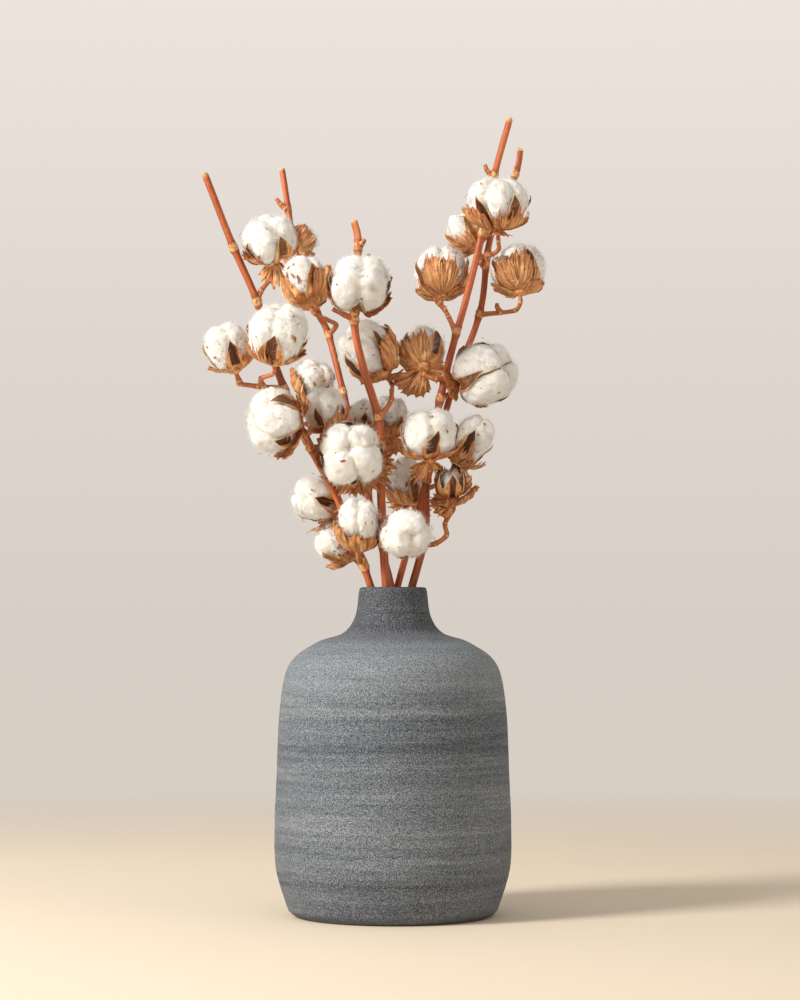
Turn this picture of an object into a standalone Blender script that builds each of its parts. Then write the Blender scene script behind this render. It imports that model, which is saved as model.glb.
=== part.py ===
# Dried cotton stems with open bolls, standing in a stoneware bottle vase.
#
# The origin is the centre of the vase's flat underside, +Z is up and -Y is the front. Lengths in the
# tables are millimetres, and MM turns them into Blender's metres. Each stem is one grown piece with its
# twigs, stalks and stubs. Each boll is two pieces: the cotton, and the burr that holds it.

import math

import bmesh
import bpy
from mathutils import Matrix, Vector

MM = 0.001
GAP = 0.3  # kept between pieces that rest on each other

# Vase: the smooth outside runs through these radii and heights, from the foot to the rim.
VASE_OUTSIDE = [(72, 0), (80, 10), (87.4, 36), (88.2, 68), (87, 101), (84.5, 155), (77.4, 187),
                (57, 203), (37.5, 210), (28.5, 222), (25.6, 240)]
VASE_STEPS = [1, 2, 1, 1, 1, 2, 2, 2, 1, 1]  # pieces of outline between those points
VASE_LIP = [(24.8, 244.2), (22.6, 244.2)]
VASE_WALL = 4.4
VASE_FLOOR = 7.0
NECK_RADIUS = 21.5
VASE_SIDES = 32

# Stems: radius at the cut top and in the vase, then the route's points from the cut top down to the
# rim, the place where the five cross, each in its own layer of y, and the foot on the vase's floor.
STEMS = {
    "stem_a": (2.6, 3.1, [(-137, -65, 544), (-117, -53, 493), (-100, -44, 454), (-89, -36, 414),
                           (-67, -26, 359), (-38, -14, 303), (-16.3, -4, 244), (-2, -4, 200), (60, -4, 9)]),
    "stem_b": (2.4, 2.7, [(-88, 92, 576), (-76, 73, 506), (-60, 59, 461), (-50, 53, 440),
                           (-36, 39, 385), (-18, 22, 310), (-1, 9.7, 244), (8, 9.7, 200), (48, 9.7, 9)]),
    "stem_c": (2.7, 3.8, [(-29, -15, 518), (-26, -16, 499), (-29, -18, 444), (-22, -20, 407),
                           (-10, -19, 365), (-9, -15, 317), (-5, -11.6, 244), (1, -11.6, 200), (25, -11.6, 9)]),
    "stem_d": (2.5, 3.4, [(89, 27, 602), (77, 21, 558), (68, 17, 514), (56, 11, 465), (40, 6, 406),
                           (26, 3, 335), (24, 3, 285), (14, 3.1, 244), (0, 3.1, 200), (-62, 3.1, 9)]),
    "stem_e": (2.4, 2.7, [(99, 58, 586), (95, 55, 566), (75, 49, 514), (67, 44, 457), (47, 37, 402),
                           (26, 26, 326), (3, 15.6, 244), (-8, 15.6, 200), (-56, 15.6, 9)]),
}
CUT_SLANT = {"stem_a": 0.9, "stem_b": 0.1, "stem_c": 0.2, "stem_d": 1.0, "stem_e": -0.8}
STEM_STEP = 24.0  # the longest straight run of a stem's tube
STEM_SIDES = 8

# Twigs and stubs that carry no boll of their own end: the stem, the radii at both ends, the points.
TWIGS = [
    ("stem_a", 2.2, 1.6, [(-80, -31, 391), (-88, -34, 391), (-100, -37, 392), (-114, -34, 394)]),
    ("stem_b", 1.9, 1.5, [(-85, 82, 543), (-89, 81, 547), (-92, 81, 551)]),
    ("stem_c", 1.9, 1.5, [(-26, -16, 499), (-23, -18, 501), (-21, -19, 504)]),
    ("stem_c", 2.2, 1.7, [(-29, -18, 444), (-36, -20, 447), (-45, -23, 451)]),
    ("stem_d", 2, 1.4, [(77, 21, 558), (72, 20, 562), (70, 19, 567)]),
    ("stem_d", 1.5, 1.2, [(40, 9, 455), (34, 8, 459), (31, 7, 463)]),
    ("stem_e", 1.8, 1.3, [(83, 41, 456), (80, 39, 460), (80, 38, 463)]),
    ("stem_a", 1.6, 1.2, [(-30, -10, 281), (-35, -11, 277), (-36, -11, 272)]),
]

# Bolls: centre, axis from the burr's base through the cotton, width across, length along the axis,
# number of locks, turn about the axis in degrees, the stem that it grows on, and the points of its
# stalk before it turns in to the burr.
BOLLS = [
    ((-91, -57, 499), (-0.2, -0.5, 0.85), 41, 32, 4, 30, "stem_a",
     [(-100, -44, 454), (-97, -44, 462), (-91, -43, 470)]),
    ((-68, 38, 480), (-0.25, 0.35, 0.9), 40, 38, 4, 30, "stem_b",
     [(-50, 53, 440), (-44, 47, 447), (-51, 35, 450)]),
    ((-24, -50, 467), (0.05, -0.85, 0.5), 47, 42, 4, 0, "stem_c",
     [(-29, -18, 444), (-27, -20, 448)]),
    ((-84, -68, 428), (0.1, -0.35, 0.93), 48, 42, 4, -8, "stem_a",
     [(-96, -36, 392), (-97, -43, 397)]),
    ((-122, -45, 421), (-0.3, -0.3, 0.9), 37, 35, 4, 10, "stem_a",
     [(-113, -34, 394)]),
    ((-61, 60, 407), (0.3, -0.5, 0.8), 33, 30, 4, 40, "stem_b",
     [(-39, 41, 395), (-54, 56, 386)]),
    ((-51, -21, 377), (-0.1, -0.3, 0.95), 33, 31, 4, -20, "stem_a",
     [(-62, -24, 348), (-55, -15, 349)]),
    ((-88, -49, 365), (-0.9, -0.4, 0.05), 50, 36, 4, 45, "stem_a",
     [(-66, -25, 356), (-61, -32, 359)]),
    ((-30, -44, 342), (-0.1, -0.97, 0.15), 51, 42, 4, 10, "stem_c",
     [(-9, -16, 325), (-20, -12, 331)]),
    ((-20, 10, 423), (-0.6, -0.2, 0.77), 44, 44, 4, 30, "stem_c",
     [(-10, -19, 371), (-2, -14, 382), (-1, -2, 392)]),
    ((22, 25, 424), (-0.05, 0.75, 0.65), 38, 40, 4, 45, "stem_d",
     [(40, 6, 402), (32, 1, 401)]),
    ((37, 27, 486), (0, 0.25, 0.97), 42, 38, 5, 0, "stem_d",
     [(47, 8, 438), (42, 9, 449), (39, 12, 455)]),
    ((79, -12, 533), (0, -0.15, 0.98), 50, 38, 5, 36, "stem_e",
     [(72, 47, 501), (76, 25, 499), (80, 5, 500)]),
    ((96, 36, 489), (-0.05, 0.3, 0.95), 43, 36, 4, 30, "stem_e",
     [(67, 44, 455), (82, 41, 456), (94, 33, 457)]),
    ((70, 3, 406), (0.75, -0.6, 0.25), 52, 42, 4, 10, "stem_d",
     [(36, 4, 387), (43, 11, 391)]),
    ((27, -26, 358), (0, -0.2, 0.98), 46, 36, 4, 5, "stem_d",
     [(25, 3, 326), (27, -12, 323)]),
    ((60, 23, 357), (0.55, -0.1, 0.83), 32, 40, 4, 0, "stem_e",
     [(24, 25, 319), (34, 24, 323)]),
    ((43, -14, 322), (-0.1, -0.5, 0.85), 27, 26, 5, 0, "stem_d",
     [(24, 3, 276), (32, -3, 277), (40, -6, 283), (39, -6, 292)]),
    ((9, 42, 327), (-0.3, -0.3, 0.9), 31, 34, 4, 20, "stem_e",
     [(16, 21, 289), (18, 36, 292)]),
    ((10, -54, 282), (0.25, -0.95, -0.1), 38, 36, 3, 60, "stem_c",
     [(-7, -12, 276), (-2, -20, 280)]),
    ((-25, -38, 290), (0, -0.6, 0.8), 34, 38, 4, 0, "stem_a",
     [(-24, -6, 263), (-25, -14, 264)]),
    ((-59, 6, 311), (-0.9, -0.3, 0.3), 36, 32, 4, 0, "stem_a",
     [(-37, -14, 301), (-33, 2, 299)]),
    ((-44, 12, 278), (-0.7, -0.3, 0.6), 31, 32, 4, 45, "stem_a",
     [(-22, -6, 260), (-22, 7, 258)]),
    ((-3, 22, 376), (0.1, -0.3, 0.9), 28, 27, 4, 45, "stem_c",
     [(-9, -18, 350), (-7, -1, 349)]),
    ((-22, 1, 374), (0, -0.3, 0.95), 22, 22, 3, 0, "stem_c",
     [(-9, -18, 346), (-16, -4, 347)]),
    ((-74, 97, 519), (0.5, 0.6, 0.6), 28, 26, 4, 0, "stem_b",
     [(-74, 71, 502), (-82, 74, 499)]),
    ((55, 51, 521), (-0.5, 0.2, 0.8), 30, 28, 4, 20, "stem_e",
     [(70, 47, 493), (67, 44, 496)]),
]
STALK_RADII = (1.9, 1.5)
STALK_SIDES = 6
STALK_RUN_IN = 5.0  # straight end of a stalk, along the boll's axis

BUTTON_RADIUS = 5.6  # the flat round base of a burr
BUTTON_HEIGHT = 4.0
VALVE_CLEARANCE = 1.7  # from the cotton to the middle of a valve's thickness
VALVE_THICKNESS = 1.3
VALVE_WIDTH = 0.4  # of the boll's half width
VALVE_TOP = 8.0  # degrees above the boll's middle at which a valve's tip ends
VALVE_WANDER = 0.07  # radians that a valve may stand away from its even place
CREASE_DEPTH = 0.15  # how far the gap between two locks goes in, of the half width

COLOURS = {
    "vase": ((0.19, 0.205, 0.215), 0.82),
    "stem": ((0.33, 0.115, 0.05), 0.6),
    "cotton": ((0.9, 0.87, 0.81), 0.95),
    "burr": ((0.42, 0.2, 0.085), 0.7),
}


def clear_scene():
    for thing in list(bpy.data.objects):
        bpy.data.objects.remove(thing, do_unlink=True)


def make_material(name):
    colour, roughness = COLOURS[name]
    material = bpy.data.materials.new(name)
    material.use_nodes = True
    shader = material.node_tree.nodes["Principled BSDF"]
    shader.inputs["Base Color"].default_value = (*colour, 1.0)
    shader.inputs["Roughness"].default_value = roughness
    shader.inputs["Metallic"].default_value = 0.0
    return material


def make_object(name, rings, material, first_cap, last_cap):
    """Skin a list of rings of points into a closed mesh. Each end closes on a point or on a flat face."""
    bm = bmesh.new()
    loops = [[bm.verts.new(Vector(p) * MM) for p in ring] for ring in rings]
    for lower, upper in zip(loops, loops[1:]):
        for i in range(len(lower)):
            j = (i + 1) % len(lower)
            bm.faces.new((lower[i], lower[j], upper[j], upper[i]))
    for loop, point, turn in ((loops[0], first_cap, -1), (loops[-1], last_cap, 1)):
        if point is None:
            bm.faces.new(loop[::turn])
            continue
        tip = bm.verts.new(Vector(point) * MM)
        for i in range(len(loop)):
            pair = (loop[i], loop[(i + 1) % len(loop)])[::turn]
            bm.faces.new((*pair, tip))
    bmesh.ops.recalc_face_normals(bm, faces=bm.faces[:])
    mesh = bpy.data.meshes.new(name)
    bm.to_mesh(mesh)
    bm.free()
    mesh.shade_smooth()
    mesh.set_sharp_from_angle(angle=math.radians(50))
    thing = bpy.data.objects.new(name, mesh)
    thing.data.materials.append(material)
    bpy.context.scene.collection.objects.link(thing)
    return thing


def unite(body, pieces):
    """Join closed pieces that overlap the body into one closed mesh, and remove them."""
    for piece in pieces:
        modifier = body.modifiers.new("join", "BOOLEAN")
        modifier.operation = "UNION"
        modifier.solver = "EXACT"
        modifier.object = piece
    bpy.context.view_layer.update()
    evaluated = body.evaluated_get(bpy.context.evaluated_depsgraph_get())
    mesh = bpy.data.meshes.new_from_object(evaluated)
    body.modifiers.clear()
    body.data = mesh
    for piece in pieces:
        bpy.data.objects.remove(piece, do_unlink=True)


def curve_point(points, i, t):
    """The point at t between points i and i + 1 of a Catmull-Rom curve through the points."""
    p1, p2 = Vector(points[i]), Vector(points[i + 1])
    p0 = Vector(points[i - 1]) if i > 0 else 2 * p1 - p2
    p3 = Vector(points[i + 2]) if i + 2 < len(points) else 2 * p2 - p1
    return 0.5 * (2 * p1 + (p2 - p0) * t + (2 * p0 - 5 * p1 + 4 * p2 - p3) * t ** 2
                  + (3 * p1 - p0 - 3 * p2 + p3) * t ** 3)


def smooth_route(points, step):
    """Points along the curve through the route, no further apart than about one step."""
    route = []
    for i in range(len(points) - 1):
        count = max(1, math.ceil((Vector(points[i + 1]) - Vector(points[i])).length / step))
        route += [curve_point(points, i, k / count) for k in range(count)]
    return route + [Vector(points[-1])]


def make_tube(name, route, first_radius, last_radius, sides, material, slant=0.0):
    """A round tapered tube along the route. A slant cuts its first end at an angle."""
    rings = []
    across = Vector((1, 0, 0))
    for k, point in enumerate(route):
        ahead = route[min(k + 1, len(route) - 1)]
        behind = route[max(k - 1, 0)]
        along = (ahead - behind).normalized()
        across = (across - along * across.dot(along)).normalized()
        side = along.cross(across)
        radius = first_radius + (last_radius - first_radius) * k / (len(route) - 1)
        ring = []
        for i in range(sides):
            angle = math.tau * i / sides
            offset = radius * (math.cos(angle) * across + math.sin(angle) * side)
            shift = slant * offset.dot(across) if k == 0 else 0.0
            ring.append(point + offset + shift * along)
        rings.append(ring)
    return make_object(name, rings, material, None, None)


def turned_rings(outline, sides):
    """Rings about the Z axis for each radius and height of an outline."""
    turns = [math.tau * i / sides for i in range(sides)]
    return [[(r * math.cos(a), r * math.sin(a), z) for a in turns] for r, z in outline]


def vase_outside():
    outline = []
    for i, count in enumerate(VASE_STEPS):
        outline += [curve_point([(r, z, 0) for r, z in VASE_OUTSIDE], i, k / count).xy for k in range(count)]
    return [tuple(p) for p in outline] + [VASE_OUTSIDE[-1]]


def vase_inside(outside):
    """The outside moved in by the wall, from the neck down to the floor."""
    inside = []
    for below, here, above in zip(outside, outside[1:], outside[2:]):
        along = (Vector(above) - Vector(below)).normalized()
        point = Vector(here) + VASE_WALL * Vector((-along.y, along.x))
        if point.y > VASE_FLOOR + 3:
            inside.append((max(point.x, NECK_RADIUS), point.y))
    low = inside[0]
    inside.insert(0, (low[0] - 6, VASE_FLOOR))
    inside.append((NECK_RADIUS, VASE_OUTSIDE[-1][1]))
    return inside[::-1]


def build_vase(material):
    outside = vase_outside()
    outline = outside + VASE_LIP + vase_inside(outside)
    return make_object("vase", turned_rings(outline, VASE_SIDES), material, None, (0, 0, VASE_FLOOR))


def boll_frame(centre, axis, turn):
    """A boll's own space: Z runs up its axis, and X looks to the front before the turn."""
    up = Vector(axis).normalized()
    front = Vector((0, 0, 1)) if abs(up.y) > 0.9 else Vector((0, -1, 0))
    x = (front - up * front.dot(up)).normalized()
    y = up.cross(x)
    space = Matrix((x, y, up)).transposed().to_4x4()
    return Matrix.Translation(Vector(centre)) @ space @ Matrix.Rotation(math.radians(turn), 4, "Z")


def build_cotton(name, frame, width, length, locks, material):
    """Locks of cotton around the axis: an egg shape with a crease between each two, and a low middle."""
    columns = 3 * locks
    rings = []
    for height in (-62, -34, -6, 24, 56):
        level = math.radians(height)
        ring = []
        for i in range(columns):
            inset = 1 - CREASE_DEPTH if i % 3 == 0 else 1.0
            angle = math.tau * i / columns
            r = 0.5 * width * math.cos(level) * inset
            z = 0.5 * length * math.sin(level)
            ring.append(frame @ Vector((r * math.cos(angle), r * math.sin(angle), z)))
        rings.append(ring)
    bottom = frame @ Vector((0, 0, -0.5 * length))
    top = frame @ Vector((0, 0, 0.42 * length))
    return make_object(name, rings, material, bottom, top)


def build_valve(frame, width, length, turn, wander, material):
    """One pointed valve of a burr, three-sided in section, that follows the cotton up from the button."""
    turned = frame @ Matrix.Rotation(turn + VALVE_WANDER * wander, 4, "Z")
    reach, rise = 0.5 * width + VALVE_CLEARANCE, 0.5 * length + VALVE_CLEARANCE
    middles = [(2.8 + 0.3 * wander, -0.5 * length - (0.55 + 0.04 * wander) * BUTTON_HEIGHT, 0.35)]
    for height, share in ((-66, 0.75), (-40, 1.0), (-14, 0.7), (VALVE_TOP, 0.08)):
        level = math.radians(height)
        middles.append((reach * math.cos(level), rise * math.sin(level), share))
    rings = []
    for k, (r, z, share) in enumerate(middles):
        before, after = middles[max(k - 1, 0)], middles[min(k + 1, len(middles) - 1)]
        along = Vector((after[0] - before[0], after[1] - before[1])).normalized()
        out = Vector((along.y, -along.x)) * 0.5 * VALVE_THICKNESS
        half = 0.5 * VALVE_WIDTH * width * share
        section = [(r - out.x, -half, z - out.y), (r - out.x, half, z - out.y), (r + out.x, 0, z + out.y)]
        rings.append([turned @ Vector(p) for p in section])
    return make_object("valve", rings, material, None, None)


def build_burr(name, frame, width, length, locks, material):
    """The dried carpel of a boll: a flat button under the cotton with one valve up each crease."""
    top = -0.5 * length - GAP - 0.1
    outline = [(1.9, top - BUTTON_HEIGHT), (BUTTON_RADIUS, top - 0.45 * BUTTON_HEIGHT)]
    outline.append((0.86 * BUTTON_RADIUS, top))
    rings = [[frame @ Vector(p) for p in ring] for ring in turned_rings(outline, 8)]
    button = make_object(name, rings, material, None, None)
    valves = []
    for k in range(locks):
        wander = math.sin(2.3 * k + width)
        valves.append(build_valve(frame, width, length, math.tau * k / locks, wander, material))
    unite(button, valves)
    return button


def stalk_end(frame, length):
    """The last two points of a stalk, which runs in along the boll's axis and stops short of the burr."""
    base = -0.5 * length - GAP - 0.1 - BUTTON_HEIGHT - GAP
    return [frame @ Vector((0, 0, base - STALK_RUN_IN)), frame @ Vector((0, 0, base))]


def build_stem(name, stalks, material):
    top_radius, foot_radius, points = STEMS[name]
    stem = make_tube(name, smooth_route(points, STEM_STEP), top_radius, foot_radius, STEM_SIDES, material,
                     CUT_SLANT[name])
    branches = []
    for owner, first, last, twig in TWIGS:
        if owner == name:
            branches.append(make_tube("twig", smooth_route(twig, 10), first, last, STALK_SIDES, material))
    for route in stalks:
        branches.append(make_tube("stalk", smooth_route(route, 12), *STALK_RADII, STALK_SIDES, material))
    unite(stem, branches)
    return stem


def main():
    clear_scene()
    materials = {name: make_material(name) for name in COLOURS}
    build_vase(materials["vase"])
    stalks = {name: [] for name in STEMS}
    for number, (centre, axis, width, length, locks, turn, stem, stalk) in enumerate(BOLLS, 1):
        frame = boll_frame(centre, axis, turn)
        build_cotton(f"boll_{number:02d}_cotton", frame, width, length, locks, materials["cotton"])
        build_burr(f"boll_{number:02d}_burr", frame, width, length, locks, materials["burr"])
        stalks[stem].append(stalk + stalk_end(frame, length))
    for name in STEMS:
        build_stem(name, stalks[name], materials["stem"])


main()
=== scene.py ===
# Looks for the dried cotton stems and their stoneware bottle vase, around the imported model.
# Sizes are in millimetres where a value is followed by "* mm", and in metres everywhere else.

import math

import bpy
import numpy as np
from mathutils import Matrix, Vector


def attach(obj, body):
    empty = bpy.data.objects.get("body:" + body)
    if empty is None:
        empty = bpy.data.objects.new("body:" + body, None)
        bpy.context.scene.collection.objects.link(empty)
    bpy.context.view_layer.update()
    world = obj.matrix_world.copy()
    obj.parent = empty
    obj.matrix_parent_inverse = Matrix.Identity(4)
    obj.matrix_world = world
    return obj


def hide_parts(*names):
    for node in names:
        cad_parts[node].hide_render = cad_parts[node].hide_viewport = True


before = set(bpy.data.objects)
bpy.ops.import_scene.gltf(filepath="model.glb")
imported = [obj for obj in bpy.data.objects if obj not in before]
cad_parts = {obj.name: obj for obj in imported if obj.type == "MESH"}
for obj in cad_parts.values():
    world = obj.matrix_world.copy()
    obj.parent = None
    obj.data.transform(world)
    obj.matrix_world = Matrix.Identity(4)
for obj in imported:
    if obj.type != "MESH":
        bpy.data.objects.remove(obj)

mm = 0.001
tau = 2 * math.pi
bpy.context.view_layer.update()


def unit(vectors):
    # each vector over its own length
    return vectors / np.maximum(np.linalg.norm(vectors, axis=-1, keepdims=True), 1e-12)


def vectors(x, y, z):
    # three numbers or arrays, spread over each other, as one array of points
    return np.stack(np.broadcast_arrays(x, y, z), axis=-1)


def smoothStep(value, low, high):
    # 0 below low and 1 above high, with 3t^2 - 2t^3 between
    t = np.clip((value - low) / (high - low), 0, 1)
    return t * t * (3 - 2 * t)


def slopeNoise(points, seed):
    # slope noise, about -1 to 1: each corner of a unit cell has a hashed slope, and the eight slopes at a
    # point are mixed by the fade 6t^5 - 15t^4 + 10t^3
    cell = np.floor(points).astype(np.int64)
    part = points - cell
    fade = part ** 3 * (part * (part * 6 - 15) + 10)
    total = np.zeros(points.shape[:-1])
    for corner in np.ndindex(2, 2, 2):
        knot = cell + np.array(corner)
        code = (knot[..., 0] * 73856093 ^ knot[..., 1] * 19349663 ^ knot[..., 2] * 83492791) + seed * 26544357
        code = (code & 0xFFFFFFFF) * 1274126177 & 0xFFFFFFFF
        code = (code ^ code >> 15) * 2246822519 & 0xFFFFFFFF
        code = code ^ code >> 13
        slope = np.stack([code & 255, code >> 8 & 255, code >> 16 & 255], axis=-1) / 127.5 - 1
        share = np.prod(np.where(np.array(corner) == 1, fade, 1 - fade), axis=-1)
        total += share * np.sum(slope * (part - np.array(corner)), axis=-1)
    return total * 1.3


def layeredNoise(points, seed, layers=3):
    # sum of slope noises, each at twice the pitch and half the height of the one before
    return sum(slopeNoise(points * 2 ** k, seed + k) / 2 ** k for k in range(layers))


def lineNoise(values, seed, y=0.0, z=0.0):
    # slope noise read along a line, at x = the values
    return slopeNoise(vectors(values, y, z), seed)


class Skin:
    # gathers closed shapes into one mesh, with a few named numbers kept for each point; a name that ends in
    # Place holds a vector
    def __init__(self):
        self.points = []
        self.faces = []
        self.marks = []
        self.count = 0

    def add(self, points, faces, **marks):
        points = points.reshape(-1, 3)
        self.points.append(points)
        self.faces += [face + self.count for face in faces]
        self.marks.append((len(points), marks))
        self.count += len(points)

    def mesh(self, name):
        mesh = bpy.data.meshes.new(name)
        faces = [row for face in self.faces for row in face.tolist()]
        mesh.from_pydata(np.concatenate(self.points).tolist(), [], faces)
        for mark in sorted({key for _, marks in self.marks for key in marks}):
            wide = mark.endswith("Place")
            values = []
            for count, marks in self.marks:
                value = marks.get(mark, 0.0)
                shape = (count, 3) if wide else (count,)
                values.append(np.zeros(shape) + (np.reshape(value, shape) if np.ndim(value) else value))
            layer = mesh.attributes.new(mark, "FLOAT_VECTOR" if wide else "FLOAT", "POINT")
            layer.data.foreach_set("vector" if wide else "value", np.concatenate(values).ravel())
        mesh.shade_smooth()
        mesh.set_sharp_from_angle(angle=math.radians(60))  # sharper bends than this show as edges
        return mesh


def ringFaces(rows, cols, start=0):
    # quads between rings of points that run round, with faces outward where each ring turns left
    row, col = np.meshgrid(np.arange(rows - 1), np.arange(cols), indexing="ij")
    after = (col + 1) % cols
    return start + np.stack([row * cols + col, row * cols + after,
                             (row + 1) * cols + after, (row + 1) * cols + col], axis=-1).reshape(-1, 4)


def addTube(skin, rings, **marks):
    # rings of points (rows, cols, 3), closed at each end on the mean of the end ring
    rows, cols = rings.shape[:2]
    ring = np.arange(cols)
    after = (ring + 1) % cols
    low = np.stack([np.full(cols, rows * cols), after, ring], axis=-1)
    top = (rows - 1) * cols
    high = np.stack([np.full(cols, rows * cols + 1), top + ring, top + after], axis=-1)
    points = np.concatenate([rings.reshape(-1, 3), [rings[0].mean(axis=0)], [rings[-1].mean(axis=0)]])
    kept = {}
    for name, value in marks.items():
        wide = name.endswith("Place")
        flat = np.reshape(value, (-1, 3) if wide else (-1,))
        ends = [flat[:cols].mean(axis=0, keepdims=True), flat[-cols:].mean(axis=0, keepdims=True)]
        kept[name] = np.concatenate([flat, *ends])
    skin.add(points, [ringFaces(rows, cols), low, high], **kept)


def gridNormals(grid):
    # the cross product of the steps along the columns and along the rows, at length 1
    return unit(np.cross(np.gradient(grid, axis=1), np.gradient(grid, axis=0)))


def addSheet(skin, grid, thickness, **marks):
    # a closed sheet: the grid is its outer side, and the inner side stands one thickness behind it
    rows, cols = grid.shape[:2]
    inner = grid - gridNormals(grid) * thickness
    rings = np.concatenate([grid, inner[:, ::-1]], axis=1)
    col = np.arange(cols - 1)
    behind = 2 * cols - 1 - col
    low = np.stack([col, behind, behind - 1, col + 1], axis=-1)
    top = (rows - 1) * 2 * cols
    high = top + np.stack([col, col + 1, behind - 1, behind], axis=-1)
    kept = {"inside": np.concatenate([np.zeros((rows, cols)), np.ones((rows, cols))], axis=1)}
    for name, value in marks.items():
        wide = name.endswith("Place")
        value = np.zeros((rows, cols, 3) if wide else (rows, cols)) + value
        kept[name] = np.concatenate([value, value[:, ::-1]], axis=1).reshape((-1, 3) if wide else (-1,))
    kept["inside"] = kept["inside"].ravel()
    skin.add(rings, [ringFaces(rows, 2 * cols), low, high], **kept)


def addNeedles(skin, paths, radius, **marks):
    # fine three-sided threads: each path (threads, stations, 3) swells from a point at one end to a full
    # radius and back to a point
    threads, stations = paths.shape[:2]
    along = unit(np.gradient(paths, axis=1))
    side = unit(np.cross(along, np.array([0.31, 0.87, 0.38])))
    other = np.cross(along, side)
    girth = radius * np.sin(math.pi * np.linspace(0, 1, stations))[None, 1:-1, None, None] ** 0.5
    turn = tau * np.arange(3) / 3
    turned = (np.cos(turn)[:, None] * side[:, 1:-1, None] + np.sin(turn)[:, None] * other[:, 1:-1, None])
    rings = paths[:, 1:-1, None] + girth * turned
    size = (stations - 2) * 3 + 2
    points = np.concatenate([rings.reshape(threads, -1, 3), paths[:, :1], paths[:, -1:]], axis=1)
    shift = (np.arange(threads) * size)[:, None, None]
    ring = np.arange(3)
    after = (ring + 1) % 3
    low = np.stack([np.full(3, size - 2), after, ring], axis=-1)
    high = np.stack([np.full(3, size - 1), size - 5 + ring, size - 5 + after], axis=-1)
    faces = [(face + shift).reshape(-1, face.shape[-1]) for face in (ringFaces(stations - 2, 3), low, high)]
    skin.add(points, faces, **marks)


def makePiece(name, skin, material, replaced=None):
    mesh = skin.mesh(name)
    piece = bpy.data.objects.new(name, mesh)
    mesh.materials.append(material)
    bpy.context.scene.collection.objects.link(piece)
    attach(piece, "root")
    if replaced:
        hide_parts(replaced)


def paint(red, green, blue):
    # a colour given as 0 to 255 on a screen, as the shader's linear values
    return tuple(((c / 255 + 0.055) / 1.055) ** 2.4 if c > 10 else c / 3294 for c in (red, green, blue))


class Wire:
    # one socket in a material, on which sums and products add Math nodes
    def __init__(self, finish, socket):
        self.finish = finish
        self.socket = socket

    def math(self, operation, *values):
        return self.finish.node("ShaderNodeMath", {"operation": operation}, dict(enumerate(values)))

    def __add__(self, other):
        return self.math("ADD", self, other)

    def __sub__(self, other):
        return self.math("SUBTRACT", self, other)

    def __rsub__(self, other):
        return self.math("SUBTRACT", other, self)

    def __mul__(self, other):
        return self.math("MULTIPLY", self, other)

    __radd__ = __add__
    __rmul__ = __mul__

    def clear(self, low, high):
        # 0 at low and 1 at high, and no further
        inputs = {"Value": self, "From Min": low, "From Max": high}
        return self.finish.node("ShaderNodeMapRange", {"clamp": True}, inputs)


class Nodes:
    # adds nodes to one tree, a material's or the room's
    def __init__(self, tree):
        self.tree = tree

    def node(self, kind, settings=None, inputs=None, output=0):
        # any node: its settings first, then a value or a link for each socket, which is given by name, number
        # or identifier
        made = self.tree.nodes.new(kind)
        for name, value in (settings or {}).items():
            if name == "stops":
                ramp = made.color_ramp
                while len(ramp.elements) < len(value):
                    ramp.elements.new(0.5)
                for element, (place, colour) in zip(ramp.elements, value):
                    element.position = place
                    element.color = (*colour, 1)
            else:
                setattr(made, name, value)
        for key, value in (inputs or {}).items():
            found = [s for s in made.inputs if s.identifier == key]
            socket = made.inputs[key] if isinstance(key, int) or not found else found[0]
            if isinstance(value, Wire):
                self.tree.links.new(value.socket, socket)
            elif hasattr(socket.default_value, "__len__") and not hasattr(value, "__len__"):
                socket.default_value = [value] * len(socket.default_value)
            elif hasattr(value, "__len__") and len(socket.default_value) == 4:
                socket.default_value = (*value[:3], 1)
            else:
                socket.default_value = value
        return Wire(self, made.outputs[output])

    def ramp(self, value, stops):
        return self.node("ShaderNodeValToRGB", {"stops": stops}, {"Fac": value})

    def show(self, wire, end):
        self.tree.links.new(wire.socket, self.tree.nodes[end].inputs["Surface"])


class Finish(Nodes):
    # one material's nodes around its main shader
    def __init__(self, name, **constants):
        self.material = bpy.data.materials.new(name)
        self.material.use_nodes = True
        super().__init__(self.material.node_tree)
        self.shader = self.tree.nodes["Principled BSDF"]
        for socket, value in constants.items():
            self.shader.inputs[socket.replace("_", " ")].default_value = value

    def place(self):
        return self.node("ShaderNodeTexCoord", output="Object")

    def mark(self, name):
        kind = "Vector" if name.endswith("Place") else "Fac"
        return self.node("ShaderNodeAttribute", {"attribute_name": name}, output=kind)

    def stretch(self, vector, factors):
        return self.node("ShaderNodeVectorMath", {"operation": "MULTIPLY"}, {0: vector, 1: factors})

    def noise(self, vector, scale, detail=3.0, roughness=0.5, distortion=0.0):
        inputs = {"Vector": vector, "Scale": scale, "Detail": detail, "Roughness": roughness,
                  "Distortion": distortion}
        return self.node("ShaderNodeTexNoise", {}, inputs)

    def grain(self, place, across, along, *rest):
        # noise drawn out along Z, with its own pitch across and along
        return self.noise(self.stretch(place, (across, across, along)), 1.0, *rest)

    def mix(self, factor, first, second, blend="MIX"):
        settings = {"data_type": "RGBA", "blend_type": blend}
        inputs = {"Factor_Float": factor, "A_Color": first, "B_Color": second}
        return self.node("ShaderNodeMix", settings, inputs, output=2)

    def bump(self, height, distance, strength):
        inputs = {"Height": height, "Distance": distance, "Strength": strength}
        self.wear("Normal", self.node("ShaderNodeBump", {}, inputs))

    def wear(self, socket, value):
        # link a wire to one of the main shader's sockets
        self.tree.links.new(value.socket, self.shader.inputs[socket])


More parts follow.
